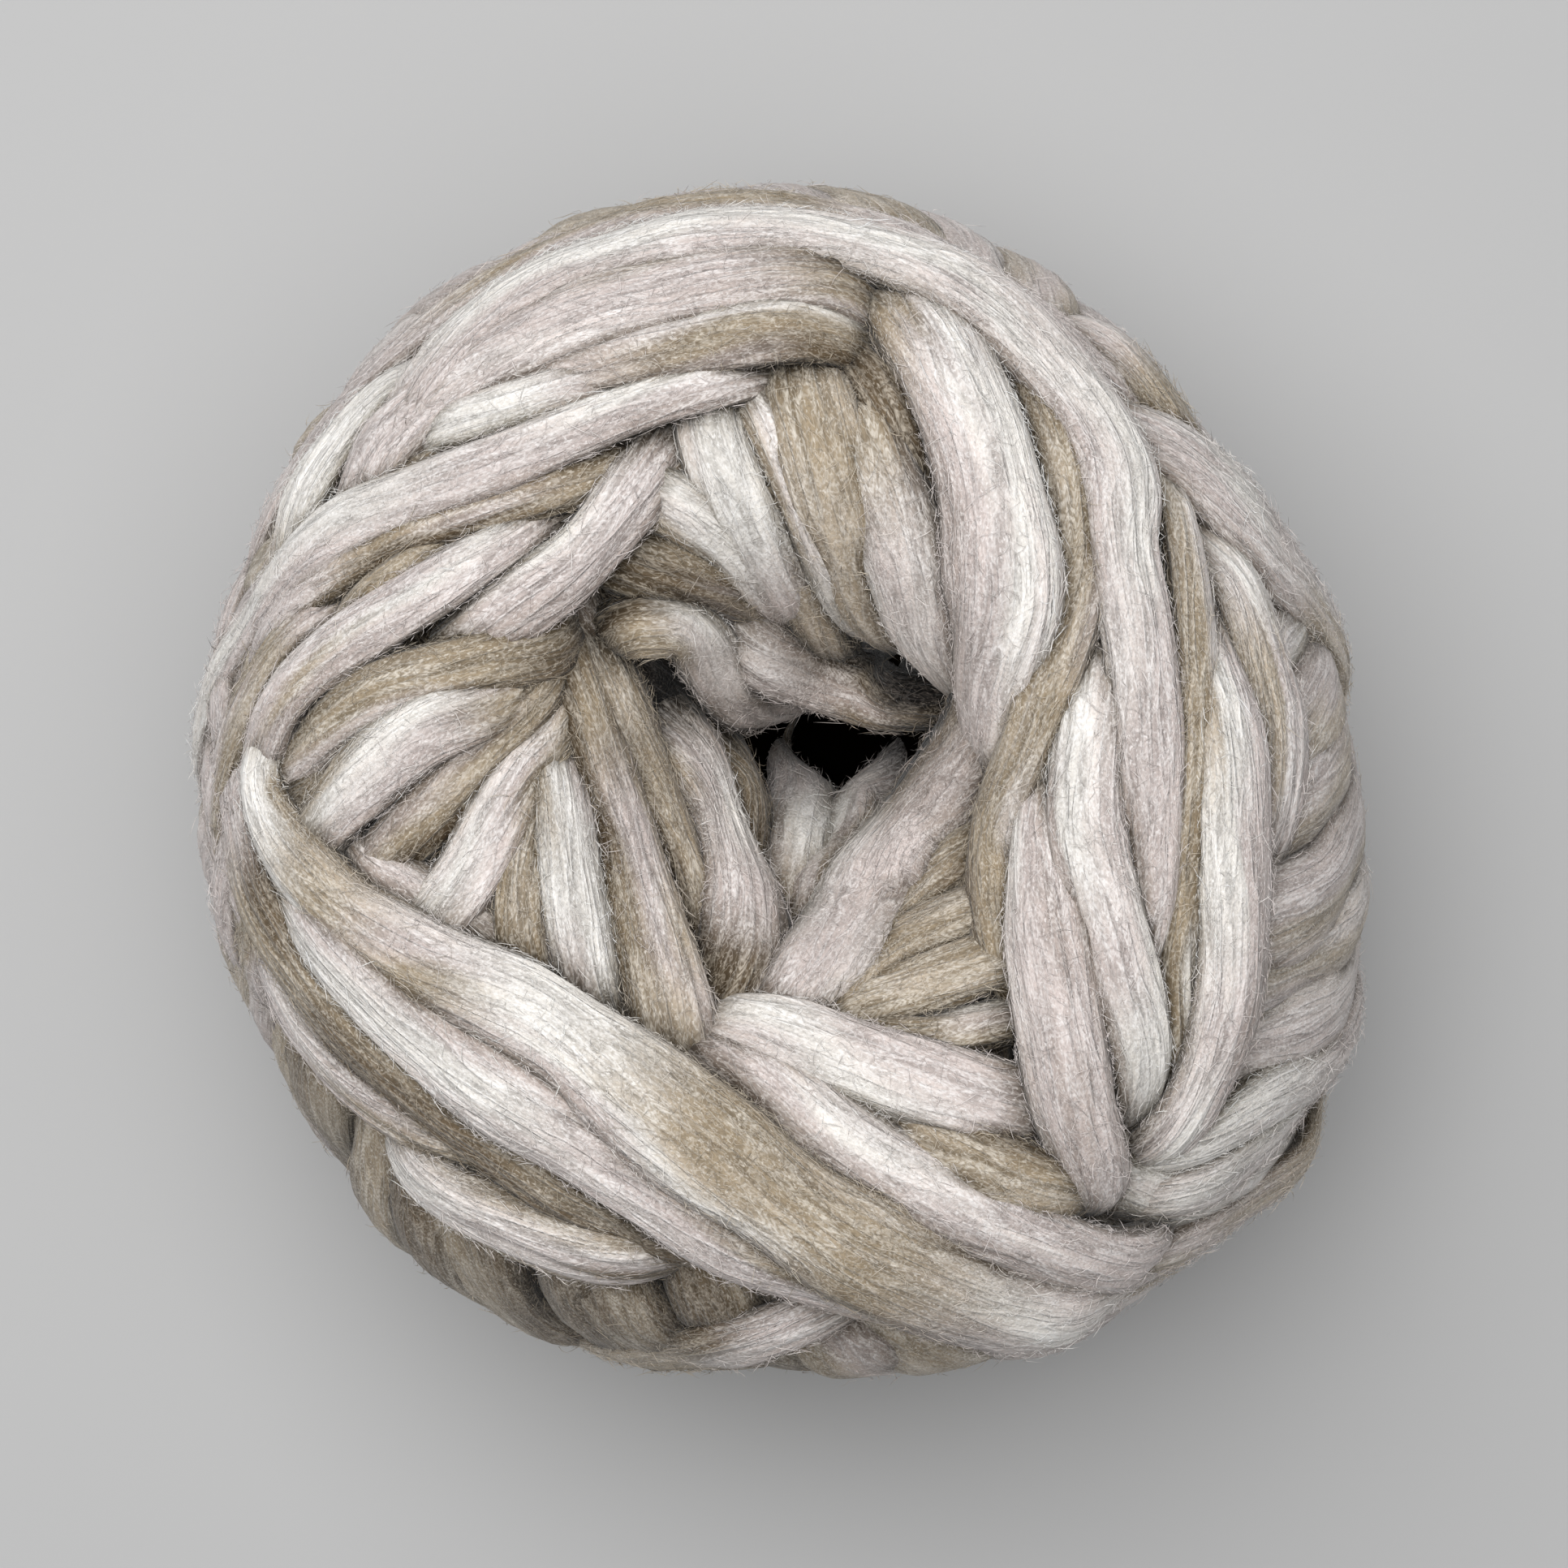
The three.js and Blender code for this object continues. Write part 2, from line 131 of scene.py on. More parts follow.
WELL_TURNS: tuple[Turn, ...] = (
    Turn("deep_1", (7, 8.5, 7.5), "SSS SDD WPLL WWWPL LTT",
         ((3, 8, -9), (2.8, 3.6, -5), (2.5, -1.4, 0), (1.6, -7, 0.5), (0.5, -14.5, -3))),
    Turn("deep_2", (6, 7, 6), "SSS SSS GLPPG TLWWL TTLP TTT",
         ((13, 7, -9), (11, 3, -5), (9, -1.6, 0), (6.3, -6, 0.8), (3, -12, 0), (1, -16, -3))),
    Turn("deep_3", (6, 7, 6), "SSS SDT DDT SDD TTT",
         ((-10, 12, -7), (-7.5, 6.5, -3.5), (-5, 0.3, 0), (-3.2, -6, -1), (-2.5, -10, -4))),
    Turn("well_left_1", (5, 5.5, 5.5), "TTT TBTT TTBT LTTT LTT",
         ((-24, 9, -4), (-26.5, 1.5, 0.5), (-28, -10, 1.2), (-27.2, -19.5, 1), (-25, -27, -4))),
    Turn("well_left_2", (6, 7.2, 6), "WTT LWWT WWWW WWWL LLL",
         ((-24.6, 8, -4), (-24.5, 0.5, 1.2), (-22.8, -11.5, 1.2), (-20.7, -21, 0.5), (-17.5, -28, -5))),
    Turn("well_left_3", (7, 8, 9), "SDD DTTD TLLD BBLT LLBB",
         ((-22.5, 16, -4), (-21, 7.5, 1), (-17.5, -5, 1.5), (-14, -17, 1.5), (-11.3, -26, -0.5))),
    Turn("well_left_4", (6, 7, 6), "SSS DTBT TTTD TTTD DTD",
         ((-20, 17, -4), (-18.5, 10, 0.5), (-15, 1, 1), (-10, -11, 0.5), (-6, -19, -4))),
    Turn("well_left_5", (8, 9.5, 8), "SSS GPLT WWPL LLLL GDDD SDD",
         ((-13, 8, -5), (-11.2, 3.5, 0.8), (-8, -4, 1.5), (-4.8, -13, 1.5), (-4.8, -20.5, -1),
          (-7.5, -25.5, -4))),
    Turn("well_top_1", (7, 7.5, 6), "WWL WWP WWW LLG GDD",
         ((-8.5, 44.5, -4), (-7.5, 36.5, 1), (-4.5, 29, 1.5), (0, 21, 1), (3, 15, -4))),
    Turn("well_top_2", (6, 6.5, 6), "LWT WWPT PWWT LGGT DDD",
         ((-18, 33, -4), (-13.5, 30.5, 1), (-6.5, 26.5, 1.5), (-0.5, 20, 0.5), (3, 14, -4))),
    Turn("well_top_3", (7, 8, 6), "TTT TTDT TTDG TDDG DDD",
         ((-21.5, 25.5, -4), (-14.5, 23.5, 0.5), (-6, 21, 0.8), (0.5, 17.6, -1.5), (4, 15, -4))),
    Turn("well_top_4", (5, 6, 5), "TTT TBT TTBT TBT TDD",
         ((-4.5, 42.5, -4), (-3, 33.5, 0.5), (0.5, 24.5, 1), (4.5, 16, 0), (6.5, 11.5, -4))),
    Turn("well_top_5", (4.5, 5, 4), "WWW WPB BPT LWW GGD",
         ((-4.5, 45, -4), (-1.5, 38, 1.2), (2.8, 28.5, 2.4), (7, 19.2, 2), (9.5, 14, -3))),
    Turn("well_top_6", (8, 9, 7), "TTT BTTB BTBB GBTB DDD",
         ((1, 49, -4), (3.2, 38, 1), (6.5, 28, 1.4), (9.3, 19.5, 0), (11, 13, -5))),
    Turn("well_top_7", (6, 9.5, 9), "TTT DDTW LPPLW LPPPP DGLL",
         ((5, 46, -4), (8.4, 36, 1), (13.5, 24.7, 1), (16.6, 15.6, 0.3), (18, 8.5, -4))),
    Turn("well_top_8", (6, 6.5, 5), "DDD DDDD SDD SSD",
         ((5.5, 49, -4), (9.5, 43, 0.8), (13.8, 35.5, 1), (17, 24.5, -3))),
    Turn("well_right_1", (6, 14, 12), "LLL LLLP BWPLLG SDGLLG SDGGG SDG",
         ((-3, -28, -4), (3, -22, 0.5), (10.8, -12, 1), (16.8, -3.5, 1), (21.5, 5, -1), (23, 10, -4))),
    Turn("well_right_2", (6, 7.5, 7), "LTT BTTB TTBT TTD TDD",
         ((-0.5, -26.5, -4), (6.5, -20, 0.5), (13.5, -13.5, 1), (20.5, -7.5, 0.5), (26.5, -3, -4))),
    Turn("well_right_3", (6, 7.5, 7), "TBB PTBT BTTB TBTT TTD",
         ((-2.5, -28, -4), (4.5, -23, 0.5), (12, -18, 1), (21.5, -13.5, 0.5), (27, -11, -4))),
    Turn("well_right_4", (6, 7, 7), "TTT TBTT TTBT BTTB TTB",
         ((-1.5, -27.5, -4), (6.5, -24.5, 0.5), (14, -22, 1), (23, -18.5, 0), (29, -16, -4))),
    Turn("well_right_5", (4.5, 4.5, 4.5), "TTT TTB PTTB WPLT LLT",
         ((-0.5, -25.5, -4), (7, -26.5, 0.5), (15, -27, 1), (22.5, -25.5, 0), (28.5, -23.5, -4))),
    Turn("loop_1", (6, 6, 4), "SDD DTT WPT PPL PLL LLG GGD",
         ((-18.5, 14.5, -4), (-15, 16.9, 4.2), (-11, 16.6, 5.5), (-7.6, 12.8, 5), (-5.4, 9.6, 4.2),
          (-1, 8.6, 2), (4, 8, -3))),
    Turn("loop_3", (7, 7.4, 5), "SGL LLPL GLLG SDGD SSDS SSS",
         ((-8, 19.8, -3), (-3.4, 15.6, 4.2), (3.5, 12.5, 5.5), (9.5, 10.4, 5), (14.2, 9.2, 2),
          (17.5, 8, -3))),
)

LEFT_TURNS: tuple[Turn, ...] = (
    Turn("left_edge", (4, 6.5, 4), "LLL LBTL TTTL BTTP PLLT LLL",
         ((-43, 46, -2), (-29, 55.5, 0.8), (-14.8, 60.3, 1.2), (-0.6, 61.6, 1.2), (10.9, 60, 0.4),
          (17, 56.8, -2)), (55, 55)),
    Turn("left_0", (4.5, 7, 4.5), "LTT WWW WWWW WWW LLT",
         ((-54.5, 23, -3), (-50.7, 30, 1.8), (-46.8, 36, 2), (-42.3, 42.5, 1), (-36.5, 48, -3)), (25, 0)),
    Turn("left_1", (8, 9, 8.5), "LLL PLLL LLLPL TLLLG TTDTL DDD",
         ((-46.5, 29, -6), (-40.5, 36.3, 1.5), (-26.5, 45.5, 2.5), (-7.5, 51, 2.5), (5.5, 52, 1.5),
          (14, 50.5, -6)), (40, 0)),
    Turn("left_2", (5, 6.5, 6.5), "LLL LLLG WPTTG WWTTD TTDD",
         ((-35.5, 38.5, -3), (-25.5, 41.5, 1.5), (-9, 45.8, 2.6), (3, 47, 2.2), (12.5, 46, -4))),
    Turn("left_2b", (4.5, 6, 4.5), "LLL PWW PWW LPL LLL",
         ((-42, 34.5, -2), (-35.5, 36.8, 2), (-28, 39.2, 2.6), (-20.5, 41.6, 2.2), (-13, 44, -2))),
    Turn("left_3", (4.5, 5, 3.5), "LLT TTT BTTD TTBD LTT",
         ((-52, 27, -3), (-46, 30.3, 0.9), (-38, 32.8, 1.4), (-31, 35.2, 1.2), (-25.5, 38, -3))),
    Turn("left_4", (5.5, 7.4, 3.5), "PWL WWPL PLLLG WWLG WPLG LLT",
         ((-58, 17, -6), (-47.5, 25.5, 2), (-29.5, 32.8, 3), (-16, 38.8, 2.8), (-5, 42.5, 1),
          (3, 45.3, -4)), (60, 0)),
    Turn("left_5", (5.5, 5.5, 5), "LLL GLLT GTTD DTGD DTT TTT",
         ((-59, 13.5, -6), (-51, 20, 1.2), (-41.5, 24.8, 1.8), (-32, 28.6, 2), (-19.5, 33, 1.5),
          (-10, 37.5, -4)), (60, 0)),
    Turn("left_5b", (4, 5, 4), "LTT TTB TTTD TTL LLL",
         ((-52, 12.5, -3), (-44.7, 18.2, 1.2), (-40.4, 21, 1.6), (-35.2, 24.2, 1.2), (-29.5, 27, -3))),
    Turn("left_6", (5.5, 6, 4), "LLL PLTG LLWL WWPL LGG LGT",
         ((-57, 0.5, -6), (-51, 10, 2), (-36.5, 20, 3), (-29, 25.3, 2.4), (-24, 29.2, 0),
          (-20, 32.5, -4)), (50, 0)),
    Turn("left_7", (5.5, 6.8, 6.5), "WLL PLLG WPLLG PLLLG LLT",
         ((-40, 11.5, -4), (-31.5, 16.6, 1), (-22.5, 23.2, 2), (-16.5, 30, 2), (-11.5, 37, -2))),
    Turn("left_8", (6.5, 7, 6), "TTL BTTL TTTTD TDDD SSS",
         ((-52, 3, -6), (-43.5, 8.5, 1), (-32, 12.6, 1.5), (-25, 15, 0), (-20, 17, -5)), (45, 0)),
    Turn("left_9", (6.5, 7, 6), "TTL TWPLG WWWLG TLTD SDD",
         ((-52, -9, -6), (-45.5, -1.5, 1.5), (-37.5, 5.5, 2), (-30, 9, 1), (-22.5, 14.5, -4)), (40, 0)),
    Turn("left_10", (6, 6, 5.5), "LLL LGTD GTTTD TTDD SSS",
         ((-46.5, -12.5, -0.5), (-40, -5.5, 0.6), (-32.5, 2.5, 1), (-25.5, 10, 0.5), (-21.5, 15, -4))),
    Turn("left_11", (7.5, 6.5, 5.5), "WPL PWPLG PPLT LBT DDD",
         ((-38.5, -17.5, 1), (-33, -9.5, 1.2), (-28.2, 0.5, 1), (-24, 7, 0), (-21, 13.5, -4))),
    Turn("left_12", (4, 5.5, 4), "LLT TGB TTB GGL LLL",
         ((-60, 3, -4), (-57.3, 9, 0.8), (-53.8, 14, 1), (-49.5, 18, 0.8), (-45, 21.5, -3)), (20, 0)),
    Turn("left_13", (4, 5.5, 4), "LLL LLGT PLLG LLBT LTT",
         ((-49.5, -3.5, -3), (-43, -8.8, 0.7), (-35.6, -13.6, 1), (-28.5, -18.6, 0.8),
          (-21.5, -24.5, -3))),
)

RIGHT_TURNS: tuple[Turn, ...] = (
    Turn("top_arch", (7, 9, 5), "LLL PPLLL WWWLL WWWPL LPWWP LPPWL LWWPL LWWPL LLLPP LLLG LLLG LLG LLT",
         ((-46, 30.5, -6), (-39, 38.2, 2), (-28.2, 49.3, 3), (-11, 55.6, 3), (10, 54.4, 3.2),
          (22.6, 47.5, 3), (33.2, 34, 2.8), (34.6, 23.5, 2.8), (36.8, 14, 2.4), (38.5, -3, 1.8),
          (38.5, -13, 1.2), (37, -21, -0.5), (36, -28, -4))),
    Turn("right_1", (7.5, 11, 7), "LLTT LWPTT WWPLLG PWWLLG PPLLG LLG LLL",
         ((9, 57, -6), (12.8, 50, 0.6), (19.6, 36, 3), (23.4, 21, 3.2), (22.8, 9, 2), (22.3, 0, -1.5),
          (22.5, -7, -6))),
    Turn("right_2", (4.5, 6.6, 6.5), "LLB BTTB BTTB LBTTB TTBTB PTTTD LTTD TTD",
         ((19, 52, -3), (24, 45, 1.4), (28.3, 36.5, 2.2), (30.3, 23.5, 2.3), (27, 8, 3), (23, -6.5, 2.5),
          (23.5, -19.5, 0), (25.5, -25.5, -4))),
    Turn("right_3", (3.5, 9, 5), "TLLW TLLW GLLLWP GLLLLP GLLGLL GLLGLG GLLD",
         ((28.5, 9, -3), (28, 2.5, 0.6), (27.8, -6, 2.4), (28.3, -18.5, 3.2), (29.8, -31.5, 3.2),
          (33, -42.5, 0.8), (32.5, -49, -5))),
    Turn("right_4", (5, 8, 3.5), "LLWW LLPWW LLPWWG WPLLLG WWWPL WPL LLG",
         ((34.3, 20, -2.5), (32.7, 9, 1.5), (32, -4, 2.5), (34.5, -18.5, 2.7), (36.6, -27.5, 2.2),
          (37, -34, 0), (36.8, -39.5, -4))),
    Turn("right_5", (4, 5.4, 3.5), "BBB PBB PTTB PTTTB WTTTB TTTD DDD",
         ((36.5, 43, -6), (40.5, 31, 1), (42.6, 11, 2), (42.3, -7.5, 1.5), (41, -20, 1), (40.8, -31, 0),
          (40, -38, -4))),
    Turn("right_6", (6.5, 8.4, 6), "BBL LLWWB LLLWW GLLLP LPWWL LWL",
         ((42.5, 24, -3), (45.4, 9, 1.5), (46.5, -8, 2), (45.7, -24.5, 2), (40.8, -37.5, 0.5),
          (37, -44, -6))),
    Turn("right_7", (6, 9, 5), "LLL PWP PLTB LPBL LLL LLL",
         ((43, 29, -2), (47.6, 22, 0.6), (50.8, 11.5, 0.6), (52.4, 2, 0), (52.6, -6, -1.8),
          (51, -14, -6))),
    Turn("right_8", (6, 9, 4), "LLL LLPL BTTT TTDT BBT",
         ((27, 53.5, -6), (33.5, 47.8, 0.7), (39.2, 41.8, 1.1), (44, 35.2, 0.4), (47, 29, -4))),
    Turn("right_9", (8, 13, 6), "LLL PPPL PWWL PLPL LPB",
         ((34, 41.5, -3.5), (40.8, 35.8, 0.6), (46.6, 30.3, 0.9), (51.8, 25.5, 0.3),
          (57, 21.5, -2)), (0, 50)),
    Turn("corner_1", (6, 8.5, 6), "LWW WWW WPW LPL",
         ((37, -40, -3), (43.6, -37.8, 0.6), (51, -34.4, 0.7), (60, -31, -2)), (0, 55)),
    Turn("corner_2", (6, 8.5, 6), "LLL PWP WPL LLB",
         ((36, -46, -3), (43.7, -43.3, 0.5), (51.3, -39.2, 0.3), (57.5, -35, -6)), (0, 55)),
    Turn("corner_3", (6, 7, 6), "LLL LLB LBLB BBB",
         ((33, -54, -3), (41, -50.5, 0.5), (50, -46.5, 0.5), (58.5, -42.5, -3)), (0, 55)),
)

FRONT_TURNS: tuple[Turn, ...] = (
    Turn("front_8", (3, 9, 7), "LTT TBTTD DTTBD TTBTD DDD",
         ((1.5, -32.5, -4), (11, -36.5, 0.4), (21, -40.2, 1.8), (29.5, -43, 0.8), (36, -46, -6))),
    Turn("front_9", (5, 8, 6), "BTT DPG LLPG GDD DDD",
         ((-12, -63, -3), (-6, -60, 1), (1.2, -57.4, 1), (9, -54.4, -1.2), (16, -51, -5)), (45, 0)),
    Turn("front_7", (8, 8.5, 8.5), "LLL LLLG PWLLLG LLPLLG LLLL LLT",
         ((-10, -25.5, -4), (-4, -30.5, 1), (5.5, -37, 2), (23.5, -46.3, 2.6), (35, -50.5, 2),
          (43, -52, -5))),
    Turn("front_6", (7, 8, 6), "LLL PWWL LLPWW LLLLG LLL",
         ((-9, -23, -4), (-2.5, -26.3, 1), (9.5, -30, 2), (22.5, -33.5, 1.5), (32, -36.5, -4))),
    Turn("front_5", (6.5, 8, 6.5), "LLL PWP BPPLT BBPLD SDD",
         ((-45, -35.5, -6), (-39, -40.5, 1), (-28.5, -46, 1.5), (-16, -49.5, 1), (-6, -51.5, -6))),
    Turn("front_4", (5.5, 6, 5), "LLL PPL GLTG GTTD DDD",
         ((-57, -17.5, -3), (-52, -25.2, 1), (-43.6, -33, 1.5), (-32, -38.6, 0),
          (-24, -42.5, -4)), (55, 0)),
    Turn("front_3", (6.5, 7.5, 6.5), "LLL DTT TTDD DTDD SSDD SDD",
         ((-59, -3, -6), (-54.5, -13, 1.5), (-43, -27, 2), (-24.5, -41, 1.5), (-10, -48.5, 0),
          (-2.5, -52.5, -6)), (60, 0)),
    Turn("front_2", (7, 8.2, 7), "TTT TLWW GLWWWP GLLLPL DTTLLG LPTTTB LTT",
         ((-55.5, -6, -6), (-46.8, -15.4, 2.5), (-32.7, -29, 3.5), (-16, -39.8, 3.5), (1.4, -49.3, 3),
          (22, -56, 1), (32, -56.5, -6)), (55, 60)),
    Turn("front_1", (5, 11.5, 9.5), "WWW WWW TWWW BTTWW PLLTTD WWWWPL TTTBWG BTTTTD LPWPLL WLW",
         ((-51.5, 9.5, -5), (-55.2, 3.5, 0.8), (-54.8, -2, 1.4), (-46.8, -11.5, 2.6), (-37.4, -18, 3.4),
          (-26, -24.5, 4), (-9, -37, 4.2), (8, -47.5, 4), (27.5, -55, 2.5), (38, -54, -6)), (0, 65)),
)

TURNS: dict[Layer, tuple[Turn, ...]] = {
    Layer.WELL: WELL_TURNS,
    Layer.LEFT: LEFT_TURNS,
    Layer.RIGHT: RIGHT_TURNS,
    Layer.FRONT: FRONT_TURNS,
}

# Shades of the turns down the side, from the right round by the far side to the left and the near side.
# The run of dark shades at the lower left is in part painted shade.
SIDE_STRIPES = tuple(
    "LBL LBP LBL PWB LPL LPP BTB LLL BLB LLP BTB LLG LLB BTT LLL GLB LPL BTB LLG BTB LLL "
    "GTB LLB BTB GLT GTT TDT DTD TDD DTT TDD DTD TDD DGT BTB LLG LPL PWP WPW LPL PLP PBL".split()
)

# Shades of the turns underneath, and of the earlier turns below the rest.
UNDER_STRIPES = ("LLT", "TTL", "WLL", "LLL", "TTB")
BEDDING_STRIPES = ("LLT", "TTD", "LLL", "TTT", "WLT")

# Stops of the earlier turns: share of the way out from the middle, degrees of swirl, and depth of tuck.
BEDDING_ROUTE = (
    (0.87, 0, 3.5), (0.74, 14, 0.5), (0.58, 26, 0), (0.42, 36, 0), (0.28, 44, 0), (0.17, 50, 0),
)


@dataclass(frozen=True)
class Spot:
    """A place on the wound form, with its way out of the ball."""

    point: Array
    out: Array
    in_well: bool = False


@dataclass(frozen=True)
class WoundForm:
    """The form that the strands lie on: a ball with a funnel-shaped well, sized as the part is.

    A share is a part of the outline's radius at the same bearing.
    """

    equator_height: float = 46.0
    crest_height: float = 91.0
    crest_share: float = 0.54
    foot_height: float = 3.1
    foot_share: float = 0.42
    flat_spot_radius: float = 11.0
    well_floor_height: float = 30.0
    well_centre: tuple[float, float] = (6.0, 3.5)
    bore_radius: float = 6.5
    bore_floor_height: float = 24.0
    outline: tuple[float, ...] = (65, 62, 64.5, 67.5, 68, 65.5, 65.5, 65.5, 68, 66.5, 70.5, 69.5)
    rim_part: float = 0.985
    least_reach: float = 0.05

    def radius(self, bearing: float) -> float:
        """The outline's radius at a bearing, smooth through the outline's evenly spaced values.

        Args:
            bearing: radians counter-clockwise from +X.

        Returns:
            The radius.
        """
        count = len(self.outline)
        turn = (bearing / math.tau) % 1.0 * count
        row = int(turn)
        part = turn - row
        before, here, after, beyond = (self.outline[(row + i) % count] for i in (-1, 0, 1, 2))
        curve = 3 * (here - after) + beyond - before
        bend = 2 * before - 5 * here + 4 * after - beyond + part * curve
        return here + 0.5 * part * (after - before + part * bend)

    def _half(self, radius: float, upper: bool) -> tuple[float, float, float]:
        """The measures of half of the rounded side.

        Args:
            radius: the outline's radius.
            upper: whether it is the half above the equator.

        Returns:
            The inner radius, the bulge and the rise.
        """
        share = self.crest_share if upper else self.foot_share
        end = self.crest_height if upper else self.foot_height
        return share * radius, (1 - share) * radius, abs(end - self.equator_height)

    def side(self, bearing: float, angle: float) -> Spot:
        """A place on the rounded side.

        Args:
            bearing: radians counter-clockwise from +X.
            angle: radians, a quarter turn at the crest, none at the equator, minus a quarter at the foot.

        Returns:
            The place.
        """
        inner, bulge, rise = self._half(self.radius(bearing), angle >= 0)
        reach = inner + bulge * math.cos(angle)
        height = self.equator_height + rise * math.sin(angle)
        way = np.array((math.cos(bearing), math.sin(bearing), 0.0))
        out = way * (math.cos(angle) / bulge) + UP * (math.sin(angle) / rise)
        return Spot(way * reach + UP * height, out / np.linalg.norm(out))

    def top(self, x: float, y: float) -> Spot:
        """A place on the upper end: the outer slope past the crest, or the funnel of the well.

        Args:
            x: distance to the right.
            y: distance to the back.

        Returns:
            The place.
        """
        bearing = math.atan2(y, x)
        radius = self.radius(bearing)
        pull = max(0.0, 1 - math.hypot(x, y) / radius / self.crest_share)
        away = np.array((x - self.well_centre[0] * pull, y - self.well_centre[1] * pull, 0.0))
        share = np.linalg.norm(away) / radius
        if share >= self.crest_share:
            part = min(self.rim_part, (share - self.crest_share) / (1 - self.crest_share))
            edge = self.side(bearing, math.acos(part))
            return Spot(np.array((x, y, edge.point[2])), edge.out)
        part = share / self.crest_share
        depth = self.crest_height - self.well_floor_height
        slope = 2 * depth * (1 - part) / (self.crest_share * radius)
        out = UP - away / max(np.linalg.norm(away), 1e-6) * slope
        height = self.well_floor_height + depth * (1 - (1 - part) ** 2)
        return Spot(np.array((x, y, height)), out / np.linalg.norm(out), True)

    def under(self, x: float, y: float) -> Spot:
        """A place on the underside, below x and y.

        Args:
            x: distance to the right.
            y: distance to the back.

        Returns:
            The place.
        """
        bearing = math.atan2(y, x)
        share = math.hypot(x, y) / self.radius(bearing)
        part = min(self.rim_part, max(0.0, (share - self.foot_share) / (1 - self.foot_share)))
        edge = self.side(bearing, -math.acos(part))
        return Spot(np.array((x, y, edge.point[2])), edge.out)

    def onto_side(self, point: Array) -> Spot:
        """The place on the rounded side that is close to a point.

        Args:
            point: a point near the side.

        Returns:
            The place.
        """
        bearing = math.atan2(point[1], point[0])
        inner, bulge, rise = self._half(self.radius(bearing), point[2] >= self.equator_height)
        reach = (math.hypot(point[0], point[1]) - inner) / bulge
        angle = math.atan2((point[2] - self.equator_height) / rise, max(self.least_reach, reach))
        return self.side(bearing, angle)

    def walk(self, start: Array, heading: Array, distance: float, stride: float = 11.0) -> list[Spot]:
        """Places met by going straight on over the rounded side.

        Args:
            start: the point to start from.
            heading: the way to go at first.
            distance: how far to go.
            stride: about how far apart the places are.

        Returns:
            The places, without the start.
        """
        spots = []
        count = max(2, round(distance / stride))
        point = start
        for _ in range(count):
            spot = self.onto_side(point + heading * (distance / count))
            heading = spot.point - point
            heading = heading - spot.out * np.dot(heading, spot.out)
            heading = heading / np.linalg.norm(heading)
            point = spot.point
            spots.append(spot)
        return spots


@dataclass(frozen=True)
class Stop:
    """A stop of a strand: its middle, its way out of the ball, its stripes, and whether it shows there."""

    middle: Array
    out: Array
    stripes: str
    shows: float


@dataclass(frozen=True)
class Grain:
    """How finely a strand is divided: the distance between its rings and its sides."""

    step: float
    sides: int


FINE_GRAIN = Grain(1.7, 48)
SIDE_GRAIN = Grain(2.4, 24)
HIDDEN_GRAIN = Grain(2.6, 12)


@dataclass(frozen=True)
class FibreKind:
    """A kind of loose fibre.

    Attributes:
        share: its part of all the fibres.
        lengths: shortest and longest.
        spread: how far it turns from the strand's own way, radians.
        rises: lowest and highest that its free end stands off the strand.
        points: how many points it bends at, its two ends among them.
    """

    share: float
    lengths: tuple[float, float]
    spread: float
    rises: tuple[float, float]
    points: int


LYING = FibreKind(0.24, (1.2, 3.2), 0.50, (0.10, 0.45), 3)
FUZZY = FibreKind(0.54, (0.6, 1.7), 1.30, (0.25, 0.85), 3)
STRAYING = FibreKind(0.22, (1.8, 4.2), 1.10, (0.40, 1.30), 4)
FIBRE_KINDS = (LYING, FUZZY, STRAYING)


@lru_cache(maxsize=None)
def tube_seed(sides: int, rings: int) -> tuple[Array, Array, Array]:
    """A closed tube's faces, from a sphere of that many sides and rings.

    Args:
        sides: points round the tube.
        rings: steps along the tube.

    Returns:
        Each point's angle, its share of the way along, and the triangles.
    """
    shape = bmesh.new()
    bmesh.ops.create_uvsphere(shape, u_segments=sides, v_segments=rings, radius=1.0)
    mesh = bpy.data.meshes.new("tube_seed")
    shape.to_mesh(mesh)
    shape.free()
    points = np.empty(len(mesh.vertices) * 3)
    mesh.vertices.foreach_get("co", points)
    points = points.reshape(-1, 3)
    mesh.calc_loop_triangles()
    triangles = np.empty(len(mesh.loop_triangles) * 3, np.int32)
    mesh.loop_triangles.foreach_get("vertices", triangles)
    bpy.data.meshes.remove(mesh)
    steps = np.round(np.arccos(np.clip(points[:, 2], -1, 1)) / math.pi * rings)
    return np.arctan2(points[:, 1], points[:, 0]), 1 - steps / rings, triangles.reshape(-1, 3)


def unit(vectors: Array) -> Array:
    """The vectors, each made one long."""
    return vectors / np.maximum(np.linalg.norm(vectors, axis=-1, keepdims=True), 1e-9)


def ease(part: Array) -> Array:
    """A part from 0 to 1, eased at both ends."""
    part = np.clip(part, 0, 1)
    return part * part * (3 - 2 * part)


def between_cells(grid: Array, row: Array, column: Array, on: Array, aside: Array) -> Array:
    """Values between the cells of a grid.

    Args:
        grid: the cells by row and column.
        row: each place's row.
        column: each place's column.
        on: the part of the way on to the next row.
        aside: the part of the way aside to the next column.

    Returns:
        A value for each place.
    """
    near, far = (grid[r, column] * (1 - aside) + grid[r, column + 1] * aside for r in (row, row + 1))
    return near * (1 - on) + far * on


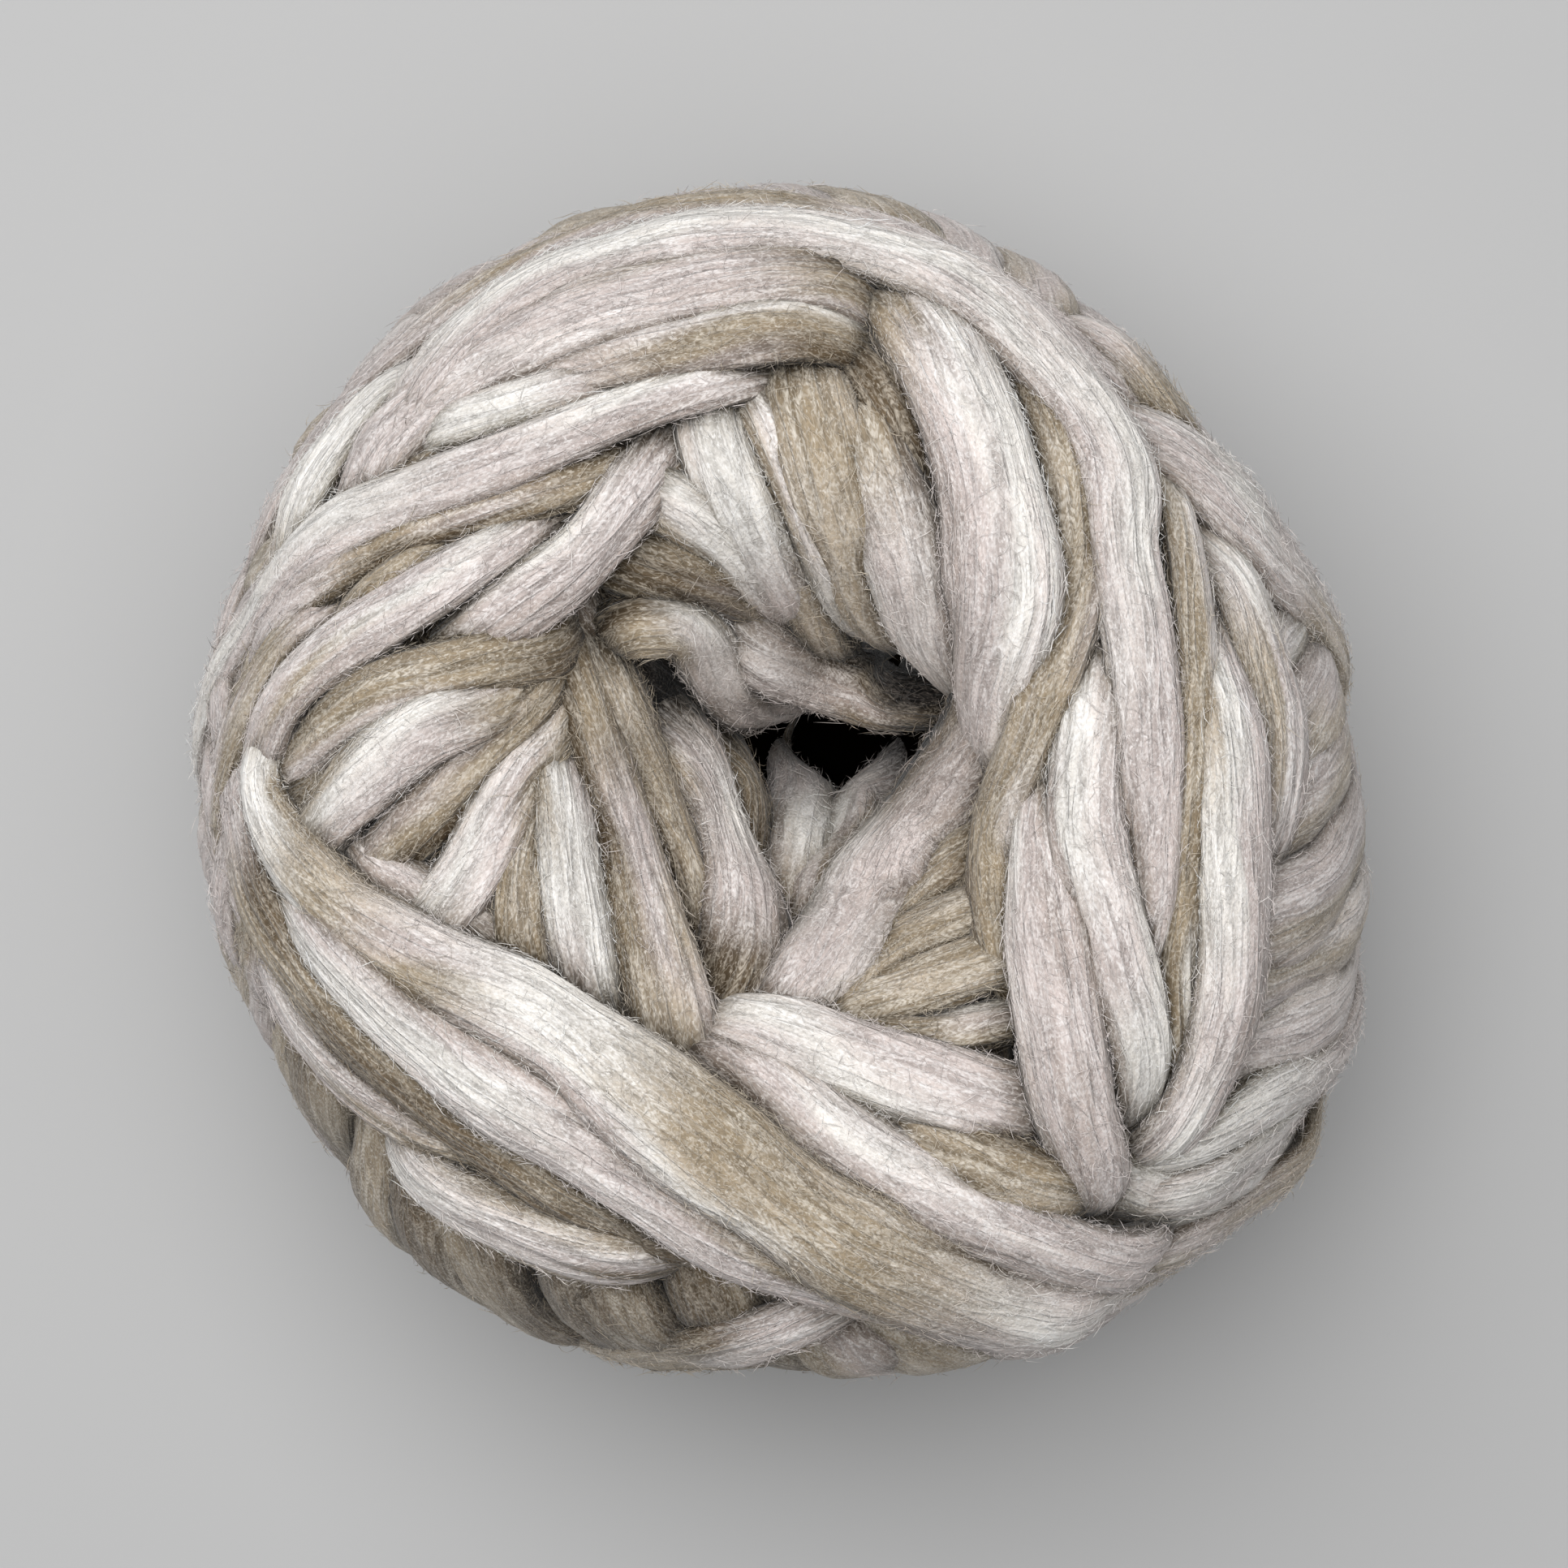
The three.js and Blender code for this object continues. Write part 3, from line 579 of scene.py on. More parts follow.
def smooth_path(stops: Array, per_stop: int = 24) -> tuple[Array, Array]:
    """A smooth path through the stops.

    Args:
        stops: the points to pass through.
        per_stop: points of the path for each stretch.

    Returns:
        The path's points, and each point's place among the stops.
    """
    ends = np.vstack((2 * stops[0] - stops[1], stops, 2 * stops[-1] - stops[-2]))
    spans = np.maximum(np.linalg.norm(np.diff(ends, axis=0), axis=1) ** 0.5, 1e-4)
    points = []
    places = []
    for i in range(len(stops) - 1):
        a, b, c, d = ends[i : i + 4]
        first, middle, last = spans[i : i + 3]
        leave = ((b - a) / first - (c - a) / (first + middle) + (c - b) / middle) * middle
        arrive = ((c - b) / middle - (d - b) / (middle + last) + (d - c) / last) * middle
        t = np.linspace(0, 1, per_stop, endpoint=i == len(stops) - 2)[:, None]
        points.append(
            (2 * t**3 - 3 * t**2 + 1) * b
            + (t**3 - 2 * t**2 + t) * leave
            + (3 * t**2 - 2 * t**3) * c
            + (t**3 - t**2) * arrive
        )
        places.append(i + t[:, 0])
    return np.vstack(points), np.concatenate(places)


@dataclass(frozen=True)
class Wave:
    """A slow wave along a strand, which makes it uneven.

    Attributes:
        size: how far it goes up and down.
        stretch: how far along the strand a radian of it takes.
        phase: which of the strand's own phases it has.
        lean: radians that it is ahead for each unit across the strand.
        start: radians that it is ahead everywhere.
    """

    size: float
    stretch: float
    phase: int
    lean: float = 0.0
    start: float = 0.0


class Strand:
    """A soft, flattened strand carried along its stops, with its stripes."""

    FLATNESS = 0.53
    FULLNESS = 1.18
    SQUARENESS = 0.94
    CROWDING = 0.45
    ROUND_END = 11.0
    LEAST_RINGS = 8
    PHASES = 12
    GRAIN_PHASE = 10
    GRAIN_SHIFT = 40.0
    WIDTH_WAVES = (Wave(0.05, 7.0, 0), Wave(0.05, 4.3, 1), Wave(0.02, 2.3, 2))
    LOBE_WAVES = (Wave(0.040, 16.0, 3, 3.0, math.pi / 2), Wave(0.025, -9.0, 4, 5.0, math.pi / 2))

    # The plies that it is made of, and the valleys between them.
    LEAST_PLIES = 3
    SPARE_PLIES = 6
    FIRST_PLY = 2
    PLY_WIDTH = 2.0
    PLY_DEPTH = 0.42
    PLY_EDGE = 0.25
    PLY_STRAY = 0.10
    PLY_LIGHTS = (0.88, 1.06)
    PLY_WAVES = (Wave(0.9, 17.0, 5, 2.0), Wave(0.35, 5.9, 6, -3.0))
    VALLEY_MEAN = 0.3
    VALLEY_DEPTH = 0.65
    VALLEY_WAVES = (Wave(0.35, 8.3, 3, 2.0),)
    # Painted shade down in the valleys between the plies.
    VALLEY_SHADE = 0.14

    # Its stripes.
    ACROSS = 13
    DRIFT_WAVES = (Wave(0.10, 8.0, 7), Wave(0.06, 3.7, 8))
    STREAK = 0.7
    STREAK_WAVES = (Wave(0.5, 14.0, 9, 0.9),)

    # Painted shade in the creases beside it.
    CREASE_STEP = 2.4
    LEAST_CREASE_RINGS = 4
    CREASE_REACH = 16.0
    CREASE_NEAR = 4.6
    CREASE_SIDES = 11
    CREASE_LOW = -0.45
    CREASE_HIGH = math.pi + 0.45
    CREASE_START = 0.25
    CREASE_OPEN = 1.06
    CREASE_CLOSING = 1.85
    CREASE_SHADE = 0.03
    CREASE_TINT = np.array((1.0, 1.06, 1.18))
    CREASE_ASKEW = np.array((0.41, -0.63, 0.66))

    # Its loose fibres.
    FIBRE_CURL = 0.5
    FIBRE_SWAY = 0.12
    FIBRE_BOW = 0.10
    FIBRE_START = 0.02
    FIBRE_LIFT = 1.7
    FIBRE_ROOM = 0.5
    FIBRE_LIT = 0.5
    FIBRE_STRAY = 0.10
    FIBRE_GAMMA = 0.65
    FIBRE_LIGHTS = (0.80, 1.20)
    FIBRE_BRIGHTEST = 0.95

    def __init__(self, stops: list[Stop], widths: tuple[float, ...], seed: int, grain: Grain) -> None:
        """Lays the strand along its stops.

        Args:
            stops: the stops in order.
            widths: the strand's width at even steps from its start to its end.
            seed: chooses the strand's own unevenness.
            grain: how finely it is divided.
        """
        self.grain = grain
        self.random = np.random.default_rng(seed)
        self.phases = self.random.uniform(0, math.tau, self.PHASES)
        self.ply_count = max(self.LEAST_PLIES, round(math.pi / 2 * max(widths) / self.PLY_WIDTH))
        plies = self.ply_count + self.SPARE_PLIES
        self.ply_stray = self.random.normal(0, self.PLY_STRAY, plies)
        self.ply_light = self.random.uniform(*self.PLY_LIGHTS, plies)
        self.ply_depth = self.PLY_DEPTH / max(widths) * 2
        path, places = smooth_path(np.array([stop.middle for stop in stops]))
        lengths = np.concatenate(((0.0,), np.cumsum(np.linalg.norm(np.diff(path, axis=0), axis=1))))
        self.length = lengths[-1]
        count = max(self.LEAST_RINGS, round(self.length / grain.step)) + 1
        self.along = np.linspace(0, self.length, count)
        self.middles = np.stack([np.interp(self.along, lengths, path[:, i]) for i in range(3)], axis=1)
        self.places = np.interp(self.along, lengths, places)
        stop_numbers = np.arange(len(stops))
        outs = np.array([stop.out for stop in stops])
        out = np.stack([np.interp(self.places, stop_numbers, outs[:, i]) for i in range(3)], axis=1)
        ahead = unit(np.gradient(self.middles, axis=0))
        self.left = unit(np.cross(out, ahead))
        self.up = np.cross(ahead, self.left)
        self.shows = np.interp(self.places, stop_numbers, [stop.shows for stop in stops])
        self.half = self._half_widths(widths)
        self.stripes = np.array([self._stripe_colours(stop.stripes) for stop in stops])
        self.openness = np.ones((2, 2))

    def _wave(self, waves: tuple[Wave, ...], along: Array, across: Array | float = 0.0) -> Array:
        """The sum of waves.

        Args:
            waves: the waves.
            along: how far along the strand.
            across: how far across it, in the measure of the waves' lean.

        Returns:
            The sum at each place.
        """
        total = np.zeros(np.shape(along))
        for wave in waves:
            turn = along / wave.stretch + wave.lean * across + self.phases[wave.phase] + wave.start
            total = total + wave.size * np.sin(turn)
        return total

    def _half_widths(self, widths: tuple[float, ...]) -> Array:
        """Half of the width along the strand, uneven, and rounded off at both ends.

        Args:
            widths: the width at even steps from the start to the end.

        Returns:
            Half of the width at each ring.
        """
        width = np.interp(self.along / self.length, np.linspace(0, 1, len(widths)), widths)
        to_end = np.minimum(self.along, self.length - self.along)
        rounding = np.clip(to_end / min(self.ROUND_END, self.length / 4), 0, 1)
        uneven = 1 + self._wave(self.WIDTH_WAVES, self.along)
        return self.FULLNESS * width / 2 * uneven * np.sqrt(1 - (1 - rounding) ** 2)

    def _stripe_colours(self, letters: str) -> Array:
        """Colours from the strand's left edge to its right edge.

        Args:
            letters: the shades in order.

        Returns:
            A row of colours.
        """
        shades = np.array([Shade.of(letter).linear for letter in letters])
        spot = np.clip(np.linspace(0, 1, self.ACROSS) * len(letters) - 0.5, 0, len(letters) - 1)
        low = np.minimum(spot.astype(int), max(0, len(letters) - 2))
        high = np.minimum(low + 1, len(letters) - 1)
        part = ease(spot - low)[:, None]
        return shades[low] * (1 - part) + shades[high] * part

    def _ring(self, share: Array) -> tuple[Array, Array]:
        """Where places lie between the rings.

        Args:
            share: the part of the way along.

        Returns:
            The ring before each place, and the part of the step past it.
        """
        index = np.clip(share, 0, 1) * (len(self.along) - 1)
        low = np.minimum(index.astype(int), len(self.along) - 2)
        return low, index - low

    def _between(self, values: Array, low: Array, part: Array) -> Array:
        """Values between one ring and the next."""
        part = part.reshape(part.shape + (1,) * (values.ndim - 1))
        return values[low] * (1 - part) + values[low + 1] * part

    def plies(self, along: Array, angle: Array) -> tuple[Array, Array]:
        """Where each place lies among the strand's plies, and how close it is to a valley between two.

        Args:
            along: how far along the strand.
            angle: radians round the section.

        Returns:
            The ply's number and part of the way to the next, and none at its middle to one in the valley.
        """
        across = np.abs((angle + math.pi) % math.tau - math.pi) / math.pi
        spot = self.ply_count * across + self._wave(self.PLY_WAVES, along, across) + self.FIRST_PLY
        return spot, 1 - np.abs(np.cos(math.pi * spot))

    def _blended(self, values: Array, spot: Array) -> Array:
        """A value of the plies, blended from each ply to the next.

        Args:
            values: the value of each ply.
            spot: the ply's number and part of the way to the next.

        Returns:
            The value at each place.
        """
        low = np.clip(spot.astype(int), 0, len(values) - 2)
        part = ease((spot - low - self.PLY_EDGE) / (1 - 2 * self.PLY_EDGE))
        return values[low] * (1 - part) + values[low + 1] * part

    def lobes(self, along: Array, angle: Array) -> Array:
        """How the section swells and sinks: slow swellings, and valleys between the plies.

        Args:
            along: how far along the strand.
            angle: radians round the section.

        Returns:
            A factor of the half width at each place.
        """
        _, valley = self.plies(along, angle)
        depth = self.VALLEY_DEPTH + self._wave(self.VALLEY_WAVES, along, angle)
        swelling = self._wave(self.LOBE_WAVES, along, angle)
        return 1 + swelling - self.ply_depth * depth * (valley - self.VALLEY_MEAN)

    def _squared(self, wave: Array) -> Array:
        """A sine or cosine made fuller, so that the section is more like a pillow."""
        return np.sign(wave) * np.abs(wave) ** self.SQUARENESS

    def place(self, share: Array, angle: Array, height: Array | float = 0.0) -> Array:
        """Points on the strand's skin or off it.

        Args:
            share: the part of the way along.
            angle: radians round the section, none at its left and a quarter turn at its outer side.
            height: how far off the skin.

        Returns:
            The points.
        """
        low, part = self._ring(share)
        along = self._between(self.along, low, part)
        half = self._between(self.half, low, part) * self.lobes(along, angle)
        left = self._between(self.left, low, part)
        up = self._between(self.up, low, part)
        way = unit(np.cos(angle)[..., None] * self.FLATNESS * left + np.sin(angle)[..., None] * up)
        wide = (self._squared(np.cos(angle)) * half)[..., None] * left
        thick = (self._squared(np.sin(angle)) * half * self.FLATNESS)[..., None] * up
        return self._between(self.middles, low, part) + wide + thick + way * np.asarray(height)[..., None]

    def colour(self, share: Array, angle: Array, stray: Array | float = 0.0) -> Array:
        """Colours of the strand, with painted shade between its plies and down in the creases beside it.

        Args:
            share: the part of the way along.
            angle: radians round the section.
            stray: how far across the strand a fibre has come from its own stripe.

        Returns:
            The colours.
        """
        low, part = self._ring(share)
        along = self._between(self.along, low, part)
        spot, valley = self.plies(along, angle)
        streaks = self.STREAK + self._wave(self.STREAK_WAVES, along, spot)
        drift = self._wave(self.DRIFT_WAVES, along) * np.sin(angle)
        across = (1 - np.cos(angle)) / 2 + drift + self._blended(self.ply_stray, spot) * streaks + stray
        column = np.clip(across, 0, 1) * (self.ACROSS - 1)
        left = np.minimum(column.astype(int), self.ACROSS - 2)
        place = self._between(self.places, low, part)
        stop = np.minimum(place.astype(int), len(self.stripes) - 2)
        on = ease(place - stop)[..., None]
        dye = between_cells(self.stripes, stop, left, on, (column - left)[..., None])
        # Each ply's own tone, then painted shade in the valleys between plies and in the creases beside the
        # strand.
        light = self._blended(self.ply_light, spot) * (1 - self.VALLEY_SHADE * valley**2)
        shade = self._crease(share, angle)[..., None] ** self.CREASE_TINT
        return dye * light[..., None] * shade

    def _crease(self, share: Array, angle: Array) -> Array:
        """How much light reaches places on the strand, from nearly none deep in a crease to all of it.

        Args:
            share: the part of the way along.
            angle: radians round the section.

        Returns:
            A part of the light for each place.
        """
        rings, sides = self.openness.shape
        angle = np.where(angle < -math.pi / 2, angle + math.tau, angle)
        spot = (angle - self.CREASE_LOW) / (self.CREASE_HIGH - self.CREASE_LOW)
        side = np.clip(spot, 0, 1) * (sides - 1)
        ring = np.clip(share, 0, 1) * (rings - 1)
        low_side = np.minimum(side.astype(int), sides - 2)
        low_ring = np.minimum(ring.astype(int), rings - 2)
        light = between_cells(self.openness, low_ring, low_side, ring - low_ring, side - low_side)
        return self.CREASE_SHADE + (1 - self.CREASE_SHADE) * light

    def find_creases(self, ball: BVHTree, ways: Array, depth: float) -> None:
        """Finds how open the strand's outer side is, by looking for other strands close to it.

        Args:
            ball: all the strands.
            ways: directions to look in, over a half sphere round +Z.
            depth: how quickly the creases grow dark.
        """
        rings = max(self.LEAST_CREASE_RINGS, round(self.length / self.CREASE_STEP))
        share, angle = np.meshgrid(
            np.linspace(0, 1, rings),
            np.linspace(self.CREASE_LOW, self.CREASE_HIGH, self.CREASE_SIDES),
            indexing="ij",
        )
        skin = self.place(share, angle)
        normal = unit(self.place(share, angle, 1.0) - skin)
        aside = unit(np.cross(normal, self.CREASE_ASKEW))
        over = np.cross(normal, aside)
        start = skin + normal * self.CREASE_START
        looks = (
            ways[:, 0] * aside[..., None, :].swapaxes(-1, -2)
            + ways[:, 1] * over[..., None, :].swapaxes(-1, -2)
            + ways[:, 2] * normal[..., None, :].swapaxes(-1, -2)
        ).swapaxes(-1, -2)
        closed = np.zeros(share.shape)
        for spot in np.ndindex(share.shape):
            origin = start[spot].tolist()
            for look in looks[spot].tolist():
                distance = ball.ray_cast(origin, look, self.CREASE_REACH)[3]
                if distance is not None:
                    closed[spot] += 1 / (1 + (distance / self.CREASE_NEAR) ** 2)
        light = self.CREASE_OPEN - self.CREASE_CLOSING * closed / len(ways)
        self.openness = np.clip(light, 0, 1) ** depth

    def skin(self) -> tuple[Array, Array, Array, Array]:
        """The strand's closed skin.

        Returns:
            Its points, triangles, colours, and the points of the strand as if it lay straight.
        """
        angle, share, triangles = tube_seed(self.grain.sides, len(self.along) - 1)
        angle = angle + self.CROWDING * np.cos(angle)
        points = self.place(share, angle)
        half = self._between(self.half, *self._ring(share))
        run = share * self.length + self.phases[self.GRAIN_PHASE] * self.GRAIN_SHIFT
        straight = np.stack((run, np.cos(angle) * half, np.sin(angle) * half), axis=1)
        return points, triangles, self.colour(share, angle), straight

    @property
    def showing_area(self) -> float:
        """How much of the strand can be seen, as its width times its length."""
        return float(np.sum(self.shows * self.half) * self.length / len(self.along))

    def fibres(self, count: int, kind: FibreKind) -> tuple[Array, Array]:
        """Loose fibres on the strand's outer side.

        Args:
            count: how many.
            kind: how they lie.

        Returns:
            Each fibre's points, and its colour.
        """
        draw = self.random
        chance = np.cumsum(self.shows * self.half + 1e-6)
        share = np.interp(draw.uniform(0, chance[-1], count), chance, np.linspace(0, 1, len(chance)))
        angle = math.pi * (0.5 + 0.5 * np.sin(math.pi * (draw.uniform(0, 1, count) - 0.5)))
        length = draw.uniform(*kind.lengths, count)
        heading = draw.normal(0, kind.spread, count) + math.pi * draw.integers(0, 2, count)
        rise = draw.uniform(*kind.rises, count)
        curl = draw.normal(0, self.FIBRE_CURL, (count, 2))
        # A fibre takes the strand's colour from nearer its top, painted crease shade included, and the
        # gamma lift paints it lighter than the strand: a painted highlight of fine fibres catching the
        # light.
        lit_angle = math.pi / 2 + (angle - math.pi / 2) * self.FIBRE_LIT
        colour = self.colour(share, lit_angle, draw.normal(0, self.FIBRE_STRAY, count))
        colour = colour**self.FIBRE_GAMMA * draw.uniform(*self.FIBRE_LIGHTS, count)[:, None]
        t = np.linspace(0, 1, kind.points)
        half = self._between(self.half, *self._ring(share)) + self.FIBRE_ROOM
        bend = np.sin(t * math.pi)[None, :]
        run = length[:, None] * t[None, :]
        turn = heading[:, None] + curl[:, :1] * t[None, :] * kind.spread
        share_on = share[:, None] + run * np.cos(turn) / self.length
        sway = self.FIBRE_SWAY * curl[:, 1:] * bend
        angle_on = angle[:, None] + run * np.sin(turn) / half[:, None] + sway
        height = self.FIBRE_START + rise[:, None] * t[None, :] ** self.FIBRE_LIFT + self.FIBRE_BOW * bend
        return self.place(share_on, angle_on, height), np.clip(colour, 0, self.FIBRE_BRIGHTEST)


# A way that fibres seldom run in, from which the sides of a fibre are turned.
FIBRE_ASKEW = np.array((0.31, 0.52, 0.79))


def fibre_skins(paths: Array, thickness: Array) -> tuple[Array, Array]:
    """Closed three-sided fibres along the paths, drawn to a point at both ends.

    Args:
        paths: the points of each fibre.
        thickness: each fibre's thickness.

    Returns:
        The points of all fibres, and their triangles.
    """
    count, stops, _ = paths.shape
    ahead = unit(np.gradient(paths, axis=1))
    one = unit(np.cross(ahead, FIBRE_ASKEW))
    two = np.cross(ahead, one)
    turns = np.arange(3) * math.tau / 3
    ways = np.cos(turns)[:, None] * one[:, 1:-1, None, :] + np.sin(turns)[:, None] * two[:, 1:-1, None, :]
    rings = paths[:, 1:-1, None, :] + ways * (thickness / 2)[:, None, None, None]
    points = np.concatenate((paths[:, :1], rings.reshape(count, -1, 3), paths[:, -1:]), axis=1)
    last = points.shape[1] - 1
    faces = []
    for a, b in ((0, 1), (1, 2), (2, 0)):
        faces.append((0, 1 + b, 1 + a))
        for ring in range(stops - 3):
            near = 1 + 3 * ring
            far = near + 3
            faces.append((near + a, near + b, far + b))
            faces.append((near + a, far + b, far + a))
        faces.append((last, last - 3 + a, last - 3 + b))
    triangles = np.array(faces)[None, :, :] + (np.arange(count) * (last + 1))[:, None, None]
    return points.reshape(-1, 3), triangles.reshape(-1, 3)


def joined(parts: list[tuple[Array, Array]]) -> tuple[Array, Array]:
    """Points and triangles of several meshes as one.

    Args:
        parts: the points and triangles of each mesh.

    Returns:
        All points, and all triangles.
    """
    starts = np.cumsum([0] + [len(points) for points, _ in parts])
    triangles = [faces + start for (_, faces), start in zip(parts, starts)]
    return np.concatenate([points for points, _ in parts]), np.concatenate(triangles)


def piece_from(
    name: str, points: Array, triangles: Array, colours: Array, places: Array | None
) -> bpy.types.Object:
    """A piece of the ball from its points, pressed flat where it meets the ground.

    Args:
        name: the piece's name.
        points: its points in the tables' millimetres.
        triangles: its triangles.
        colours: a colour for each point.
        places: each point of the strands as if they lay straight, or none.

    Returns:
        The piece.
    """
    points = (points + ROW_SHIFT) * MM
    points[:, 2] = np.maximum(points[:, 2], 0.0)
    mesh = bpy.data.meshes.new(name)
    mesh.vertices.add(len(points))
    mesh.vertices.foreach_set("co", points.astype(np.float32).ravel())
    mesh.loops.add(triangles.size)
    mesh.loops.foreach_set("vertex_index", triangles.astype(np.int32).ravel())
    mesh.polygons.add(len(triangles))
    mesh.polygons.foreach_set("loop_start", np.arange(0, triangles.size, 3, dtype=np.int32))
    mesh.polygons.foreach_set("use_smooth", np.ones(len(triangles), bool))
    mesh.update(calc_edges=True)
    colour = mesh.color_attributes.new(COLOUR_NAME, "FLOAT_COLOR", "POINT")
    opaque = np.column_stack((colours, np.ones(len(colours))))
    colour.data.foreach_set("color", opaque.astype(np.float32).ravel())
    if places is not None:
        place = mesh.attributes.new(PLACE_NAME, "FLOAT_VECTOR", "POINT")
        place.data.foreach_set("vector", (places * MM).astype(np.float32).ravel())
    piece = bpy.data.objects.new(name, mesh)
    bpy.context.scene.collection.objects.link(piece)
    return piece


class NodeSheet:
    """A material's nodes, added one by one."""

    def __init__(self, name: str) -> None:
        """Starts an empty material.

        Args:
            name: the material's name.
        """
        self.material = bpy.data.materials.new(name)
        self.material.use_nodes = True
        self.tree = self.material.node_tree
        self.tree.nodes.clear()

    def add(
        self, kind: str, values: dict | None = None, links: dict | None = None, **settings
    ) -> bpy.types.Node:
        """Adds a node.

        Args:
            kind: the node's type without its first word.
            values: constants by socket.
            links: output sockets by input socket.
            settings: the node's own settings.

        Returns:
            The node.
        """
        node = self.tree.nodes.new("ShaderNode" + kind)
        for key, value in settings.items():
            setattr(node, key, value)
        for key, value in (values or {}).items():
            node.inputs[key].default_value = value
        for key, socket in (links or {}).items():
            self.tree.links.new(socket, node.inputs[key])
        return node

    def attribute(self, name: str, output: str) -> Socket:
        """What the mesh holds under a name."""
        return self.add("Attribute", attribute_name=name).outputs[output]

    def reckon(self, operation: str, *terms: Socket | float, **settings) -> Socket:
        """Adds a step of arithmetic.

        Args:
            operation: what is done with the terms.
            terms: constants and output sockets, in the order of the node's inputs.
            settings: the node's own settings.

        Returns:
            The result.
        """
        values = {i: term for i, term in enumerate(terms) if isinstance(term, float)}
        links = {i: term for i, term in enumerate(terms) if i not in values}
        return self.add("Math", values, links, operation=operation, **settings).outputs[0]

    def ranged(self, value: Socket, span: Span) -> Socket:
        """A value moved from the range of a span's first two numbers to the range of its last two."""
        return self.add("MapRange", dict(enumerate(span, 1)), {0: value}).outputs[0]

    def finish(self, values: dict, links: dict | None = None) -> bpy.types.Material:
        """Adds the shader and the output.

        Args:
            values: the shader's constants by socket.
            links: output sockets by the shader's input socket.

        Returns:
            The material.
        """
        shader = self.add("BsdfPrincipled", values, links)
        self.add("OutputMaterial", None, {"Surface": shader.outputs[0]})
        return self.material


